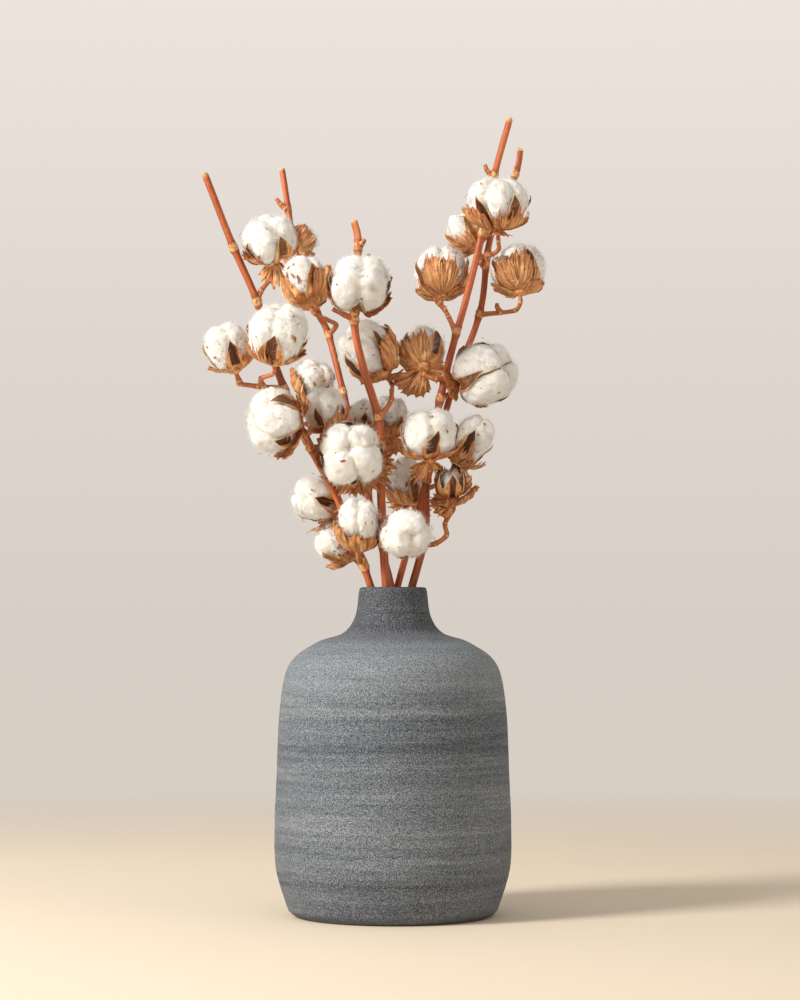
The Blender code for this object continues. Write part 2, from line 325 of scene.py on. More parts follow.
def cottonFinish():
    # warm white fibre: painted cream shade in the creases, the septa's brown with painted shade deep in the
    # creases of some bolls, soft strands and a few brown flecks
    finish = Finish("cottonFibre", Roughness=0.95, Subsurface_Weight=0.6, Subsurface_Scale=0.006,
                    Subsurface_Radius=(1.0, 0.85, 0.65), Sheen_Weight=0.3, Specular_IOR_Level=0.05)
    place = finish.place()
    cloud = finish.noise(place, 90, 3)
    floss = finish.noise(place, 620, 4, 0.7, 2.2)
    crease = finish.mark("crease")
    septum = finish.mark("septum")
    colour = finish.mix(cloud.clear(0.35, 0.7), paint(255, 252, 246), paint(253, 247, 237))
    colour = finish.mix((1 - floss.clear(0.34, 0.54)) * 0.3, colour, paint(243, 233, 213))
    # painted shade: a cream tint deep in the creases between the locks, where shade falls
    colour = finish.mix(crease * 0.32, colour, paint(238, 223, 197))
    # the septa's brown along the deepest creases, partly their own colour and partly painted shade
    colour = finish.mix(septum.clear(0.8, 0.95), colour, paint(126, 82, 50))
    patch = finish.noise(place, 75, 2).clear(0.55, 0.6)
    fleck = (1 - finish.noise(place, 420, 1).clear(0.26, 0.29)) * patch * 0.8
    colour = finish.mix(fleck, colour, paint(158, 112, 66))
    finish.wear("Base Color", colour)
    strands = finish.noise(place, 520, 5, 0.65, 1.6)
    tufts = finish.noise(place, 170, 3, 0.55, 0.8)
    finish.bump(strands * 0.7 + tufts + floss * 0.4, 0.0028, 0.65)
    return finish.material


def huskFinish():
    # the dried burr: a tan cup with fine brown stripes lengthwise, valves dark down the middle, partly their
    # own brown and partly painted shade, a thin pale rim, and a smooth inner side, brown with painted shade
    finish = Finish("burrHusk", Specular_IOR_Level=0.35)
    place = finish.mark("leafPlace")
    edge = finish.mark("edge")
    valve = finish.mark("valve")
    tone = finish.mark("tone")
    inside = finish.mark("inside")
    stripes = finish.grain(place, 1000, 90, 4, 0.62, 0.3)
    broad = finish.grain(place, 340, 40, 3, 0.5, 0.4)
    patches = finish.noise(finish.place(), 230, 4, 0.6)
    tan = [(0.36, paint(150, 84, 44)), (0.45, paint(206, 134, 78)), (0.54, paint(230, 172, 112)),
           (0.66, paint(248, 214, 166))]
    tan = finish.ramp(stripes * 0.5 + broad * 0.5, tan)
    dark = [(0.34, paint(40, 20, 14)), (0.52, paint(78, 40, 26)), (0.7, paint(128, 76, 48))]
    dark = finish.ramp(stripes, dark)
    # the valves' dark middle: their own dark brown with the shade of their hollow painted in
    rough = valve + (patches - 0.5) * 0.5
    colour = finish.mix(rough.clear(0.35, 0.62) * tone, tan, dark)
    colour = finish.mix((1 - patches.clear(0.34, 0.46)) * 0.6, colour, paint(104, 56, 34))
    rim = 1 - (edge + (stripes - 0.5) * 0.8).clear(0.35, 0.9)
    colour = finish.mix(rim * 0.9, colour, paint(242, 204, 154))
    # painted shade: the inner side of each sheet, facing the cotton, brown with the shade of the hollow
    # painted in
    colour = finish.mix(inside * 0.85, colour, paint(92, 50, 32))
    finish.wear("Base Color", colour)
    finish.wear("Roughness", patches * 0.3 + 0.42)
    finish.bump(stripes + broad * 0.7 + patches * 0.5, 0.0009, 0.7)
    return finish.material


def bractFinish():
    # the leafy bract: golden tan with ribs that fan out from its foot, browner ends, teeth, and painted shade
    # in its low folds
    finish = Finish("bractLeaf", Specular_IOR_Level=0.3, Subsurface_Weight=0.12, Subsurface_Scale=0.002)
    place = finish.mark("leafPlace")
    along = finish.mark("along")
    fold = finish.mark("fold")
    tone = finish.mark("tone")
    patches = finish.noise(finish.place(), 170, 4, 0.6)
    veins = finish.grain(place, 820, 60, 4, 0.62, 0.4)
    broad = finish.grain(place, 260, 30, 3, 0.5, 0.5)
    net = finish.noise(finish.place(), 700, 3, 0.6, 1.0)
    gold = [(0.38, paint(138, 74, 40)), (0.45, paint(204, 130, 76)), (0.54, paint(230, 168, 108)),
            (0.64, paint(250, 218, 170))]
    colour = finish.ramp(veins * 0.5 + broad * 0.5, gold)
    # painted shade: the low parts of the folds and the grooves between the ribs darker; chips and curls, with
    # a fixed fold, come out evenly browner
    colour = finish.mix((1 - fold).clear(0.4, 0.9) * 0.7, colour, paint(138, 72, 38))
    colour = finish.mix((1 - patches.clear(0.33, 0.45)) * 0.5, colour, paint(150, 84, 46))
    colour = finish.mix(along.clear(0.88, 1.0) * 0.5, colour, paint(140, 76, 42))
    colour = finish.mix(tone, colour, paint(112, 62, 38))
    colour = finish.mix(net.clear(0.56, 0.66) * 0.4, colour, paint(246, 212, 164))
    finish.wear("Base Color", colour)
    finish.wear("Roughness", patches * 0.25 + 0.48)
    finish.bump(veins + broad * 0.7 + net * 0.5, 0.0010, 0.8)
    return finish.material


def stemFinish():
    # reddish-brown bark with lengthwise grain and specks, tan at the nodes, pale wood at the cuts
    finish = Finish("stemWood", Specular_IOR_Level=0.45)
    place = finish.mark("barkPlace")
    node = finish.mark("node")
    cut = finish.mark("cut")
    thin = finish.mark("thin")
    grain = finish.grain(place, 900, 40, 4, 0.6)
    streaks = finish.grain(place, 300, 9, 3, 0.55)
    specks = finish.grain(place, 1500, 500, 2)
    colour = finish.ramp(streaks, [(0.3, paint(118, 50, 24)), (0.45, paint(168, 80, 39)),
                                   (0.6, paint(195, 104, 53)), (0.78, paint(218, 142, 84))])
    colour = finish.mix(grain.clear(0.5, 0.75) * 0.45, colour, paint(200, 120, 66))
    colour = finish.mix((1 - grain.clear(0.25, 0.42)) * 0.5, colour, paint(84, 34, 18))
    colour = finish.mix(thin * 0.55, colour, paint(186, 120, 70))
    colour = finish.mix(specks.clear(0.62, 0.7) * 0.5, colour, paint(222, 170, 122))
    scar = finish.grain(place, 600, 420, 3)
    colour = finish.mix(node.clear(0.15, 0.5) * (1 - node.clear(0.5, 0.8)) * 0.5, colour, paint(104, 56, 32))
    colour = finish.mix(node.clear(0.45, 0.8) * scar.clear(0.4, 0.55), colour, paint(218, 172, 112))
    rings = finish.ramp(grain, [(0.3, paint(196, 150, 100)), (0.7, paint(232, 200, 152))])
    colour = finish.mix(cut, colour, rings)
    finish.wear("Base Color", colour)
    finish.wear("Roughness", grain * 0.25 + 0.4)
    finish.bump(grain + streaks * 0.6 + specks * 0.3, 0.0006, 0.6)
    return finish.material


def vaseFinish():
    # matte grey-blue stoneware: brushed streaks round it, dark and pale specks, a lighter shoulder, a painted
    # shadow ring where the shoulder meets the neck, a darker neck, and darker, browner colour over the lowest
    # few millimetres; heights are in metres
    finish = Finish("stonewareGlaze", Specular_IOR_Level=0.35)
    place = finish.place()
    height = finish.node("ShaderNodeSeparateXYZ", {}, {0: place}, output="Z")
    streaks = finish.grain(place, 9, 260, 5, 0.7, 0.25)
    bands = finish.grain(place, 2.2, 52, 4, 0.6)
    layers = streaks * 0.4 + bands * 0.6
    colour = finish.ramp(layers, [(0.38, paint(50, 58, 69)), (0.46, paint(74, 82, 92)),
                                  (0.54, paint(94, 101, 108)), (0.63, paint(124, 130, 135))])
    shoulder = height.clear(0.160, 0.174) * (1 - height.clear(0.200, 0.207))
    colour = finish.mix(shoulder * 0.5, colour, paint(136, 143, 149))
    neck = height.clear(0.205, 0.214)
    colour = finish.mix(neck * 0.75, colour, paint(50, 54, 61))
    # painted shadow: a slightly darker ring where the shoulder meets the neck
    ring = height.clear(0.202, 0.205) * (1 - height.clear(0.206, 0.210))
    colour = finish.mix(ring * 0.4, colour, paint(70, 72, 75))
    scratch = finish.grain(place, 16, 620, 2, 0.5)
    colour = finish.mix((1 - scratch.clear(0.28, 0.38)) * 0.45, colour, paint(50, 56, 64))
    salt = finish.noise(finish.stretch(place, (1, 1, 1.25)), 1150, 2, 0.85)
    colour = finish.mix(salt.clear(0.5, 0.6) * (layers.clear(0.3, 0.6) * 0.45 + 0.35), colour,
                        paint(160, 164, 166))
    colour = finish.mix((1 - salt.clear(0.4, 0.5)) * 0.72, colour, paint(32, 39, 49))
    colour = finish.mix(neck * 0.3, colour, paint(30, 32, 38))
    spot = finish.node("ShaderNodeTexVoronoi", {}, {"Vector": place, "Scale": 300})
    tan = finish.noise(place, 70, 2)
    few = 1.25 - height.clear(0.02, 0.15)
    spots = (1 - spot.clear(0.16, 0.26)) * tan.clear(0.56, 0.62) * few
    colour = finish.mix(spots * 0.6, colour, paint(176, 138, 118))
    # darker and browner over the lowest few millimetres
    foot = 1 - height.clear(0.002, 0.006)
    colour = finish.mix(foot * 0.5, colour, paint(78, 72, 68))
    finish.wear("Base Color", colour)
    finish.wear("Roughness", salt * 0.2 + 0.66)
    finish.bump(streaks * 0.7 + salt * 0.5, 0.0005, 0.6)
    return finish.material


vaseLook = {
    # radius and height up the outside
    "outline": [(72, 0), (77, 3.5), (80, 10), (87.4, 36), (88.2, 68), (87, 101), (84.5, 155), (77.4, 187),
                (57, 203), (37.5, 210), (28.5, 222), (25.6, 240)],
    "wall": 4.4,
    "neck": 21.5,  # radius of the hole
    "floor": 7.0,
    "lip": 2.1,  # radius of the rounded lip
    "turnMarks": 0.16,  # how far the turning marks stand out
    "sides": 120,
    "step": 2.2,  # between rings
}


def throughPoints(points, counts):
    # Catmull-Rom curve: each stretch is the cubic that passes through its two points with the slope of
    # their neighbours
    points = np.asarray(points, dtype=float)
    padded = np.concatenate([[2 * points[0] - points[1]], points, [2 * points[-1] - points[-2]]])
    route = []
    for i, count in enumerate(counts):
        t = (np.arange(count) / count)[:, None]
        a, b, c, d = padded[i:i + 4]
        route.append(0.5 * (2 * b + (c - a) * t + (2 * a - 5 * b + 4 * c - d) * t ** 2
                            + (3 * b - a - 3 * c + d) * t ** 3))
    return np.concatenate([*route, points[-1:]])


def stepCounts(points, step, least):
    # how many steps each stretch between two points takes: its length over the step, rounded up
    stretches = np.linalg.norm(np.diff(points, axis=0), axis=1)
    return np.maximum(least, np.ceil(stretches / step)).astype(int)


def buildVase(material):
    # a turned surface: the outline's radius and height carried round the axis, first up the outside, then
    # over the lip's half circle and down the inside, one wall behind
    look = vaseLook
    outline = np.array(look["outline"])
    outside = throughPoints(outline, stepCounts(outline, look["step"], 1))
    lip = look["lip"]
    middle = np.array([look["outline"][-1][0] - 0.4 - lip, outside[-1][1] + 2.1])
    turn = np.radians(np.linspace(0, 180, 9))
    edge = middle + lip * np.stack([np.cos(turn), np.sin(turn)], axis=-1)
    slope = unit(np.gradient(outside, axis=0))
    inside = outside + look["wall"] * np.stack([-slope[:, 1], slope[:, 0]], axis=-1)
    inside = inside[inside[:, 1] > look["floor"] + 5][::-1]
    inside[:, 0] = np.maximum(inside[:, 0], look["neck"])
    low = inside[-1]
    corner = [(low[0] - 1.5, low[1] - 3), (low[0] - 6, look["floor"]), (low[0] * 0.5, look["floor"])]
    profile = np.concatenate([outside, edge, inside, corner])
    turns = tau * np.arange(look["sides"]) / look["sides"]
    marks = lineNoise(profile[:, 1] / 3.2, 7, z=0.5) + 0.6 * lineNoise(profile[:, 1] / 9.0, 8, z=3.5)
    wobble = look["turnMarks"] * marks * smoothStep(profile[:, 1], 2, 12)
    radius = (profile[:, 0] + wobble)[:, None]
    rings = vectors(radius * np.cos(turns), radius * np.sin(turns), profile[:, 1:])
    skin = Skin()
    addTube(skin, rings * mm)
    makePiece("vaseBody", skin, material, "vase")


def cornerPoints(node):
    # the different points of a CAD solid, and how many triangle corners meet at each
    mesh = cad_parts[node].data
    points = np.empty(3 * len(mesh.vertices))
    mesh.vertices.foreach_get("co", points)
    return np.unique(np.round(points.reshape(-1, 3), 6), axis=0, return_counts=True)


def readBoll(number):
    # the cotton solid has a point at each end of its axis, where most of its faces meet, 0.92 of a length
    # apart, and 15 points a lock between; the creases are where its ring comes nearest the axis
    cotton, shared = cornerPoints(f"boll_{number:02d}_cotton")
    burr, _ = cornerPoints(f"boll_{number:02d}_burr")
    ends = cotton[np.argsort(shared)[-2:]]
    bottom, top = ends[np.argsort(ends @ (cotton.mean(axis=0) - burr.mean(axis=0)))]
    up = unit(top - bottom)
    front = np.array([0, 0, 1.0]) if abs(up[1]) > 0.9 else np.array([0, -1.0, 0])
    x = unit(front - up * (front @ up))
    axes = np.array([x, np.cross(up, x), up])
    length = np.linalg.norm(top - bottom) / 0.92
    centre = bottom + up * 0.5 * length
    local = (cotton - centre) @ axes.T
    locks = round((len(cotton) - 2) / 15)
    reach = np.hypot(local[:, 0], local[:, 1])
    wave = np.sum(reach ** 4 * np.exp(1j * locks * np.arctan2(local[:, 1], local[:, 0])))
    return {
        "number": number,
        "centre": centre,
        "axes": axes,
        "width": 2 * reach.max() / math.cos(math.radians(6)),
        "length": length,
        "locks": locks,
        "crease": (np.angle(wave) + math.pi) / locks,
    }


def toWorld(points, boll):
    # from the boll's own axes, with z from its foot to its top, to the object's
    return boll["centre"] + points @ boll["axes"]


cottonLook = {
    "offset": 0.35,  # of the half width, from the axis to the middle of a lock
    "breadth": 0.60,  # of the half width, for four locks
    "softness": 11,  # higher is a sharper crease
    "groove": 0.075,  # how far the crease itself goes in, of the radius
    "girth": 0.97,  # of the CAD's half width, so that lumps and tufts reach it
    "wander": 0.16,  # how far the creases stray, as a share of the radius
    "lumps": 0.07,  # of the half width
    "tufts": 0.6 * mm,
    "rows": 76,
    "colsPerLock": 30,
    "laid": 1500,  # threads that lie on a boll 50 mm across
    "standing": 2100,  # threads that stand out from it
    "threadRadius": 0.07 * mm,
    "threadLength": (3.0 * mm, 9.0 * mm),
    "threadRise": (0.4 * mm, 2.0 * mm),
    "standingLength": (2.0 * mm, 6.5 * mm),
    "wisps": 7,
}


def fromCrease(turn, boll):
    # the turn between a direction and the nearest crease
    beside = (turn - boll["crease"]) * boll["locks"] / tau
    return np.abs(beside - np.round(beside)) * tau / boll["locks"]


def lockSkin(direction, boll):
    # distance from the middle to the skin of the locks: r = (sum of r_k ^ p) ^ (1 / p), where r_k is where
    # the ray leaves the egg of lock k; also 1 in a crease and 0 on a lock
    look = cottonLook
    chance = np.random.default_rng(100 + boll["number"])
    power = look["softness"]
    half = 0.5 * boll["width"] * look["girth"]
    rise = np.where(direction[..., 2] > 0, 0.48, 0.52) * boll["length"]
    total = np.zeros(direction.shape[:-1])
    level = np.sqrt(np.maximum(1 - direction[..., 2] ** 2, 0))
    beside = fromCrease(np.arctan2(direction[..., 1], direction[..., 0]), boll)
    groove = np.exp(-(beside * np.maximum(level, 0.25) / 0.11) ** 2)
    for k in range(boll["locks"]):
        grow, lean = chance.uniform(0.90, 1.03), chance.uniform(-0.08, 0.08)
        turn = boll["crease"] + (k + 0.5) * tau / boll["locks"] + lean
        outward = direction[..., 0] * math.cos(turn) + direction[..., 1] * math.sin(turn)
        sideways = direction[..., 1] * math.cos(turn) - direction[..., 0] * math.sin(turn)
        offset = look["offset"] * half * grow
        depth = (1 - look["offset"]) * half * grow
        breadth = look["breadth"] * half * (4 / boll["locks"]) ** 0.7
        a = (outward / depth) ** 2 + (sideways / breadth) ** 2 + (direction[..., 2] / (rise * grow)) ** 2
        b = outward * offset / depth ** 2
        c = (offset / depth) ** 2 - 1
        r = (b + np.sqrt(b * b - a * c)) / a
        total += r ** power
    return total ** (1 / power) * (1 - look["groove"] * groove), groove


def cottonRadius(direction, boll):
    # the locks' skin, lowered at the top in the middle, with soft lumps and small tufts
    look = cottonLook
    own = bollLooks[boll["number"]]
    stray = [layeredNoise(direction * 1.9 + 5 * k, 20 + boll["number"], 2) for k in range(3)]
    stray = np.stack(stray, axis=-1)
    radius, crease = lockSkin(unit(direction + look["wander"] * own.get("wander", 1) * stray), boll)
    radius = radius * own.get("fill", 1)
    fromTop = np.arccos(np.clip(direction[..., 2], -1, 1))
    radius = radius * (1 - 0.2 * np.exp(-(fromTop / 0.22) ** 2))
    spot = direction * radius[..., None]
    seed = 40 + 10 * boll["number"]
    radius = radius + look["lumps"] * 0.5 * boll["width"] * layeredNoise(spot / (11 * mm), seed, 2)
    radius = radius + look["tufts"] * layeredNoise(spot / (4 * mm), seed + 5, 2) * (1 - 0.5 * crease)
    return radius, crease


def sphereDirections(level, turn):
    # a level above the equator and a turn round the axis, as a direction of length 1
    return vectors(np.cos(level) * np.cos(turn), np.cos(level) * np.sin(turn), np.sin(level))


def addWisps(skin, boll, chance):
    # pulled tufts: threads that leave the cotton close together and fan out in one direction, each a parabola
    look = cottonLook
    count, each = look["wisps"], 26
    spread = unit(chance.normal(size=(count, 1, 3)) + np.array([0, 0, 0.5]))
    spread = unit(spread + chance.normal(size=(count, each, 3)) * 0.06).reshape(-1, 3)
    sideways = unit(np.cross(spread, np.repeat(chance.normal(size=(count, 3)), each, axis=0)))
    across = np.cross(spread, sideways)
    foot, _ = cottonRadius(spread, boll)
    size = (count * each, 1, 1)
    length = chance.uniform(4, 11, size=size) * mm
    rise = chance.uniform(0.1, 0.5, size=size)
    bend = chance.uniform(-0.5, 0.5, size=size)
    s = np.linspace(0, 1, 5)[None, :, None]
    paths = ((spread * (foot[:, None] - 0.5 * mm))[:, None] + sideways[:, None] * length * s
             + spread[:, None] * length * (rise * s - 0.3 * s ** 2)
             + across[:, None] * length * bend * s ** 2)
    addNeedles(skin, toWorld(paths, boll), look["threadRadius"])


def openCotton(direction, boll):
    # true where neither a valve, by the same edge as the cup's, nor a closed leaf lies over the cotton
    width, tip, _, _ = bollLooks[boll["number"]]["valves"]
    level = np.arcsin(direction[:, 2])
    facing = np.arctan2(direction[:, 1], direction[:, 0])
    point = np.clip(1 - fromCrease(facing, boll) / (1.8 * width), 0, 1) ** 0.85
    seen = level > np.radians(-46 + (tip + 56) * point)
    for turn, spread, reach, opening, _ in bollLooks[boll["number"]]["bracts"]:
        aside = (facing - math.radians(turn) + math.pi) % tau - math.pi
        ray = np.clip(1 - (np.abs(aside) / math.radians(spread)) ** 3, 0, 1) ** 0.5
        seen &= (opening > 9) | (level > np.radians(footLevel + 0.9 * reach * ray))
    return seen


def buildCotton(boll, material):
    # the skin is a radius over level and turn; the laid threads are arcs along it, and the standing ones
    # parabolas away from it
    look = cottonLook
    chance = np.random.default_rng(300 + boll["number"])
    skin = Skin()
    level = np.radians(np.linspace(-88, 88, look["rows"]))[:, None]
    cols = look["colsPerLock"] * boll["locks"]
    turn = (tau * np.arange(cols) / cols)[None]
    direction = sphereDirections(level, turn)
    radius, crease = cottonRadius(direction, boll)
    rings = toWorld(direction * radius[..., None], boll)
    # the crease mark feeds the painted cream shade, and the septa mark feeds the septa's brown with painted
    # shade
    addTube(skin, rings, crease=crease, septum=crease * bollLooks[boll["number"]].get("septaAndShade", 0))
    size = (boll["width"] / (50 * mm)) ** 2
    for standing, share in ((False, look["laid"]), (True, look["standing"])):
        spread = unit(chance.normal(size=(int(share * size), 3)))
        spread = spread[openCotton(spread, boll)]
        count = len(spread)
        foot, _ = cottonRadius(spread, boll)
        sideways = unit(np.cross(spread, unit(chance.normal(size=(count, 3)))))
        across = np.cross(spread, sideways)[:, None]
        spread, sideways = spread[:, None], sideways[:, None]
        one = (count, 1, 1)
        s = np.linspace(0, 1, 4)[None, :, None]
        bend = chance.uniform(-0.6, 0.6, size=one)
        base = spread * (foot[:, None, None] - 0.4 * mm)
        if standing:
            length = chance.uniform(*look["standingLength"], size=one)
            rise = chance.uniform(0.25, 0.75, size=one)
            out = spread * rise * s * (1.3 - 0.5 * s)
            paths = base + length * (sideways * s + out + across * bend * s ** 2)
        else:
            length = chance.uniform(*look["threadLength"], size=one)
            rise = chance.uniform(*look["threadRise"], size=one) * np.sin(math.pi * s)
            paths = (base + sideways * length * (s - 0.5) + across * length * bend * (s - 0.5) ** 2
                     + spread * (rise - length * 0.45 * (s - 0.5) ** 2))
        addNeedles(skin, toWorld(paths, boll), look["threadRadius"])
    addWisps(skin, boll, chance)
    number = f"{boll['number']:02d}"
    makePiece(f"cotton{number}", skin, material, f"boll_{number}_cotton")


footLevel = -84  # degrees below a boll's equator, where its cup and leaves start

burrLook = {
    "thickness": 0.45 * mm,
    "clearance": 0.45 * mm,  # between the cotton and the cup
    "rimLift": 0.8 * mm,
    "button": 5.6 * mm,  # its radius
    "gap": 0.4 * mm,  # between the cotton and the button
    "buttonHeight": 4.0 * mm,
}

bractLook = {
    "thickness": 0.3 * mm,
    "flakeThickness": 0.25 * mm,
    "ribs": 0.22 * mm,  # height of the ribs, and of the two below
    "crinkle": 3.1 * mm,
    "waves": 4.0 * mm,
    "teeth": 9,  # on a leaf of half spread 45 or more, give or take one
    "fanTeeth": 6,
    "curls": 5,
    "curlRadius": 0.22 * mm,
}

# what each boll shows, with all angles in degrees: how much more than usual its creases wander, how brown
# its deepest creases are, with the septa and their painted shade, and how full it is; its valves as (width
# over half width, level of the tip, darkness that is partly painted shade, lift of the tip in mm); bracts as
# (turn from the front, half spread, reach up the boll, opening, raggedness); leaves bent away as fans (turn
# from straight down, half spread, length in mm, bow, raggedness); and flakes as chips (turn, level, length in
# mm, lean)
bollLooks = {
    1: {"valves": (0.30, 14, 1.0, 1.5),
        "bracts": [(-70, 40, 74, 4, 0.2), (235, 55, 74, 4, 0.2), (130, 50, 70, 10, 0.3)],
        "fans": [(-8, 46, 24, 0.12, 0.3), (40, 30, 12, 0.1, 0.3)],
        "chips": [(-30, -18, 5, 60)]},
    2: {"valves": (0.38, 24, 0.5, 1.5),
        "bracts": [(88, 50, 106, 0, 0.1), (50, 34, 92, 1, 0.1), (200, 60, 80, 6, 0.2),
                   (-50, 44, 46, 14, 0.3), (20, 40, 40, 30, 0.3)],
        "chips": [(-40, 2, 6, 60), (-22, -8, 5, 100), (-30, 18, 4, 20), (-52, -14, 5, 140), (-12, -20, 6, 80),
                  (-36, -28, 4, 40)]},
    3: {"valves": (0.28, 20, 0.9, 2.5),
        "bracts": [(-78, 36, 100, 2, 0.3), (60, 46, 66, 4, 0.15), (180, 60, 70, 10, 0.3)],
        "chips": [(8, 14, 4, 150), (84, 4, 4, 0), (30, -20, 3, 60)]},
    4: {"valves": (0.34, 8, 1.0, 1.2),
        "bracts": [(-42, 36, 106, 2, 0.6), (85, 70, 56, 1, 0.12), (180, 60, 80, 6, 0.2)],
        "chips": [(34, 6, 7, 130), (50, 30, 3, 20)]},
    5: {"valves": (0.34, 16, 1.0, 1.6),
        "bracts": [(-75, 50, 56, 2, 0.08), (62, 40, 78, 5, 0.3), (170, 60, 76, 10, 0.3)],
        "chips": [(-36, -8, 4, 10), (-50, 18, 3, 120)]},
    6: {"fill": 0.94, "valves": (0.40, 24, 0.9, 2.0),
        "bracts": [(-46, 50, 108, 2, 0.12), (40, 60, 50, 4, 0.2), (200, 60, 80, 10, 0.3)],
        "chips": [(10, 10, 5, 120), (40, 24, 4, 30), (24, -4, 4, 70)]},
    7: {"valves": (0.34, 20, 1.0, 2.2),
        "bracts": [(66, 60, 94, 1, 0.15), (-60, 55, 50, 14, 0.3), (10, 44, 40, 30, 0.35),
                   (170, 60, 80, 10, 0.3)],
        "chips": [(40, 6, 6, 60)]},
    8: {"valves": (0.34, 26, 1.0, 2.0),
        "bracts": [(30, 40, 60, 6, 0.3), (150, 60, 72, 8, 0.12), (270, 60, 72, 8, 0.12),
                   (90, 50, 60, 24, 0.3)],
        "chips": [(140, 30, 8, 40), (190, 50, 6, 90)]},
    9: {"wander": 1.7, "septaAndShade": 0.84, "valves": (0.28, 28, 1.0, 1.5),
        "bracts": [(90, 55, 92, 2, 0.12), (250, 45, 70, 22, 0.3), (0, 45, 70, 40, 0.35),
                   (170, 45, 70, 22, 0.3)],
        "fans": [(-20, 40, 33, 0.1, 0.3), (30, 36, 36, 0.1, 0.3), (74, 34, 36, 0.05, 0.25)],
        "chips": [(160, 62, 5, 20), (60, 30, 6, 90)]},
    10: {"valves": (0.36, 30, 1.0, 2.5),
         "bracts": [(84, 48, 108, 0, 0.08), (48, 34, 96, 1, 0.1), (190, 60, 80, 8, 0.2),
                    (-45, 55, 50, 2, 0.1), (40, 40, 36, 36, 0.2)],
         "chips": [(-20, 50, 3, 0)]},
    11: {"valves": (0.36, 34, 0.8, 2.0),
         "bracts": [(-48, 46, 92, 1, 0.3), (-4, 24, 100, 3, 0.3), (228, 55, 90, 50, 0.3)],
         "fans": [(-14, 38, 30, 0.15, 0.5), (75, 40, 24, 0.0, 0.35)]},
    12: {"valves": (0.28, 22, 0.7, 2.0),
         "bracts": [(-16, 26, 118, 0, 0.25), (14, 22, 114, 2, 0.25), (-74, 44, 48, 6, 0.2),
                    (88, 50, 46, 2, 0.12), (200, 60, 72, 4, 0.2)],
         "chips": [(40, 30, 4, 60)]},
    13: {"valves": (0.28, 22, 0.9, 2.5),
         "bracts": [(36, 46, 92, 1, 0.45), (-70, 44, 84, 3, 0.12), (150, 60, 70, 6, 0.3),
                    (10, 60, 34, 36, 0.4)]},
    14: {"valves": (0.34, 26, 1.0, 2.0),
         "bracts": [(-26, 28, 102, 2, 0.2), (4, 28, 112, 0, 0.2), (84, 50, 48, 4, 0.12),
                    (250, 50, 60, 2, 0.12)],
         "chips": [(60, 40, 3, 60)]},
    15: {"wander": 0.5, "septaAndShade": 1.0, "valves": (0.19, 36, 0.8, 1.0),
         "bracts": [(120, 40, 56, 6, 0.12), (240, 45, 60, 8, 0.12), (0, 46, 60, 22, 0.15)],
         "chips": [(60, 30, 3, 60)]},
    16: {"valves": (0.28, 26, 0.9, 2.5),
         "bracts": [(75, 60, 60, 3, 0.12), (180, 55, 70, 12, 0.3), (-75, 60, 60, 3, 0.12)],
         "fans": [(-38, 34, 25, 0.1, 0.35), (40, 30, 16, 0.0, 0.4)],
         "chips": [(10, 50, 4, 60), (40, 10, 4, 100)]},
    17: {"valves": (0.36, 20, 1.0, 3.0),
         "fans": [(20, 50, 18, 0.1, 0.4)],
         "bracts": [(-20, 66, 90, 2, 0.4), (70, 60, 80, 8, 0.4), (220, 60, 80, 12, 0.3)]},
    18: {"fill": 0.62, "valves": (0.62, 62, 1.0, 2.0),
         "bracts": [(70, 55, 100, 20, 0.2), (200, 60, 80, 24, 0.3), (-70, 50, 80, 30, 0.3),
                    (-8, 50, 84, 16, 0.2)],
         "fans": [(168, 52, 26, 0.3, 0.2), (-46, 46, 19, 0.2, 0.2)]},
    19: {"valves": (0.36, 34, 1.0, 3.0),
         "bracts": [(-60, 55, 100, 4, 0.15), (80, 60, 75, 8, 0.3), (210, 60, 80, 12, 0.3)],
         "fans": [(205, 34, 38, 0.25, 0.25), (-70, 40, 22, 0.1, 0.3), (60, 40, 20, 0.1, 0.3)],
         "chips": [(0, 0, 5, 60)]},
    20: {"valves": (0.26, 10, 0.7, 1.5),
         "bracts": [(80, 50, 60, 8, 0.2), (200, 50, 60, 8, 0.2), (320, 50, 60, 8, 0.2)]},
    21: {"valves": (0.44, 16, 0.35, 1.5),
         "bracts": [(-58, 40, 112, 2, 0.1), (10, 58, 92, 0, 0.08), (92, 44, 100, 2, 0.12),
                    (200, 60, 80, 8, 0.3)]},
    22: {"valves": (0.42, 26, 1.0, 2.0),
         "bracts": [(20, 60, 74, 8, 0.3), (140, 60, 86, 10, 0.3), (260, 60, 86, 20, 0.35)],
         "fans": [(-5, 44, 20, 0.1, 0.3)]},
    23: {"valves": (0.34, 20, 0.9, 2.0),
         "bracts": [(10, 60, 70, 2, 0.12), (120, 60, 75, 8, 0.3), (240, 60, 75, 8, 0.3)],
         "chips": [(0, 0, 6, 0), (-20, -20, 5, 60)]},
    24: {"valves": (0.36, 24, 0.9, 2.5),
         "fans": [(30, 40, 22, 0.1, 0.25)],
         "bracts": [(20, 60, 92, 4, 0.3), (140, 60, 86, 30, 0.3), (260, 60, 92, 30, 0.3)]},
    25: {"valves": (0.40, 34, 0.8, 3.0),
         "fans": [(-30, 40, 20, 0.1, 0.25)],
         "bracts": [(10, 60, 100, 8, 0.3), (130, 60, 92, 20, 0.3), (250, 60, 92, 20, 0.3)]},
    26: {"valves": (0.36, 26, 0.7, 2.0),
         "bracts": [(0, 60, 100, 4, 0.1), (120, 60, 85, 6, 0.1), (240, 60, 85, 6, 0.1)]},
    27: {"valves": (0.36, 26, 0.7, 2.5),
         "bracts": [(-40, 60, 104, 12, 0.45), (90, 60, 85, 10, 0.3), (210, 60, 95, 24, 0.4)]},
}


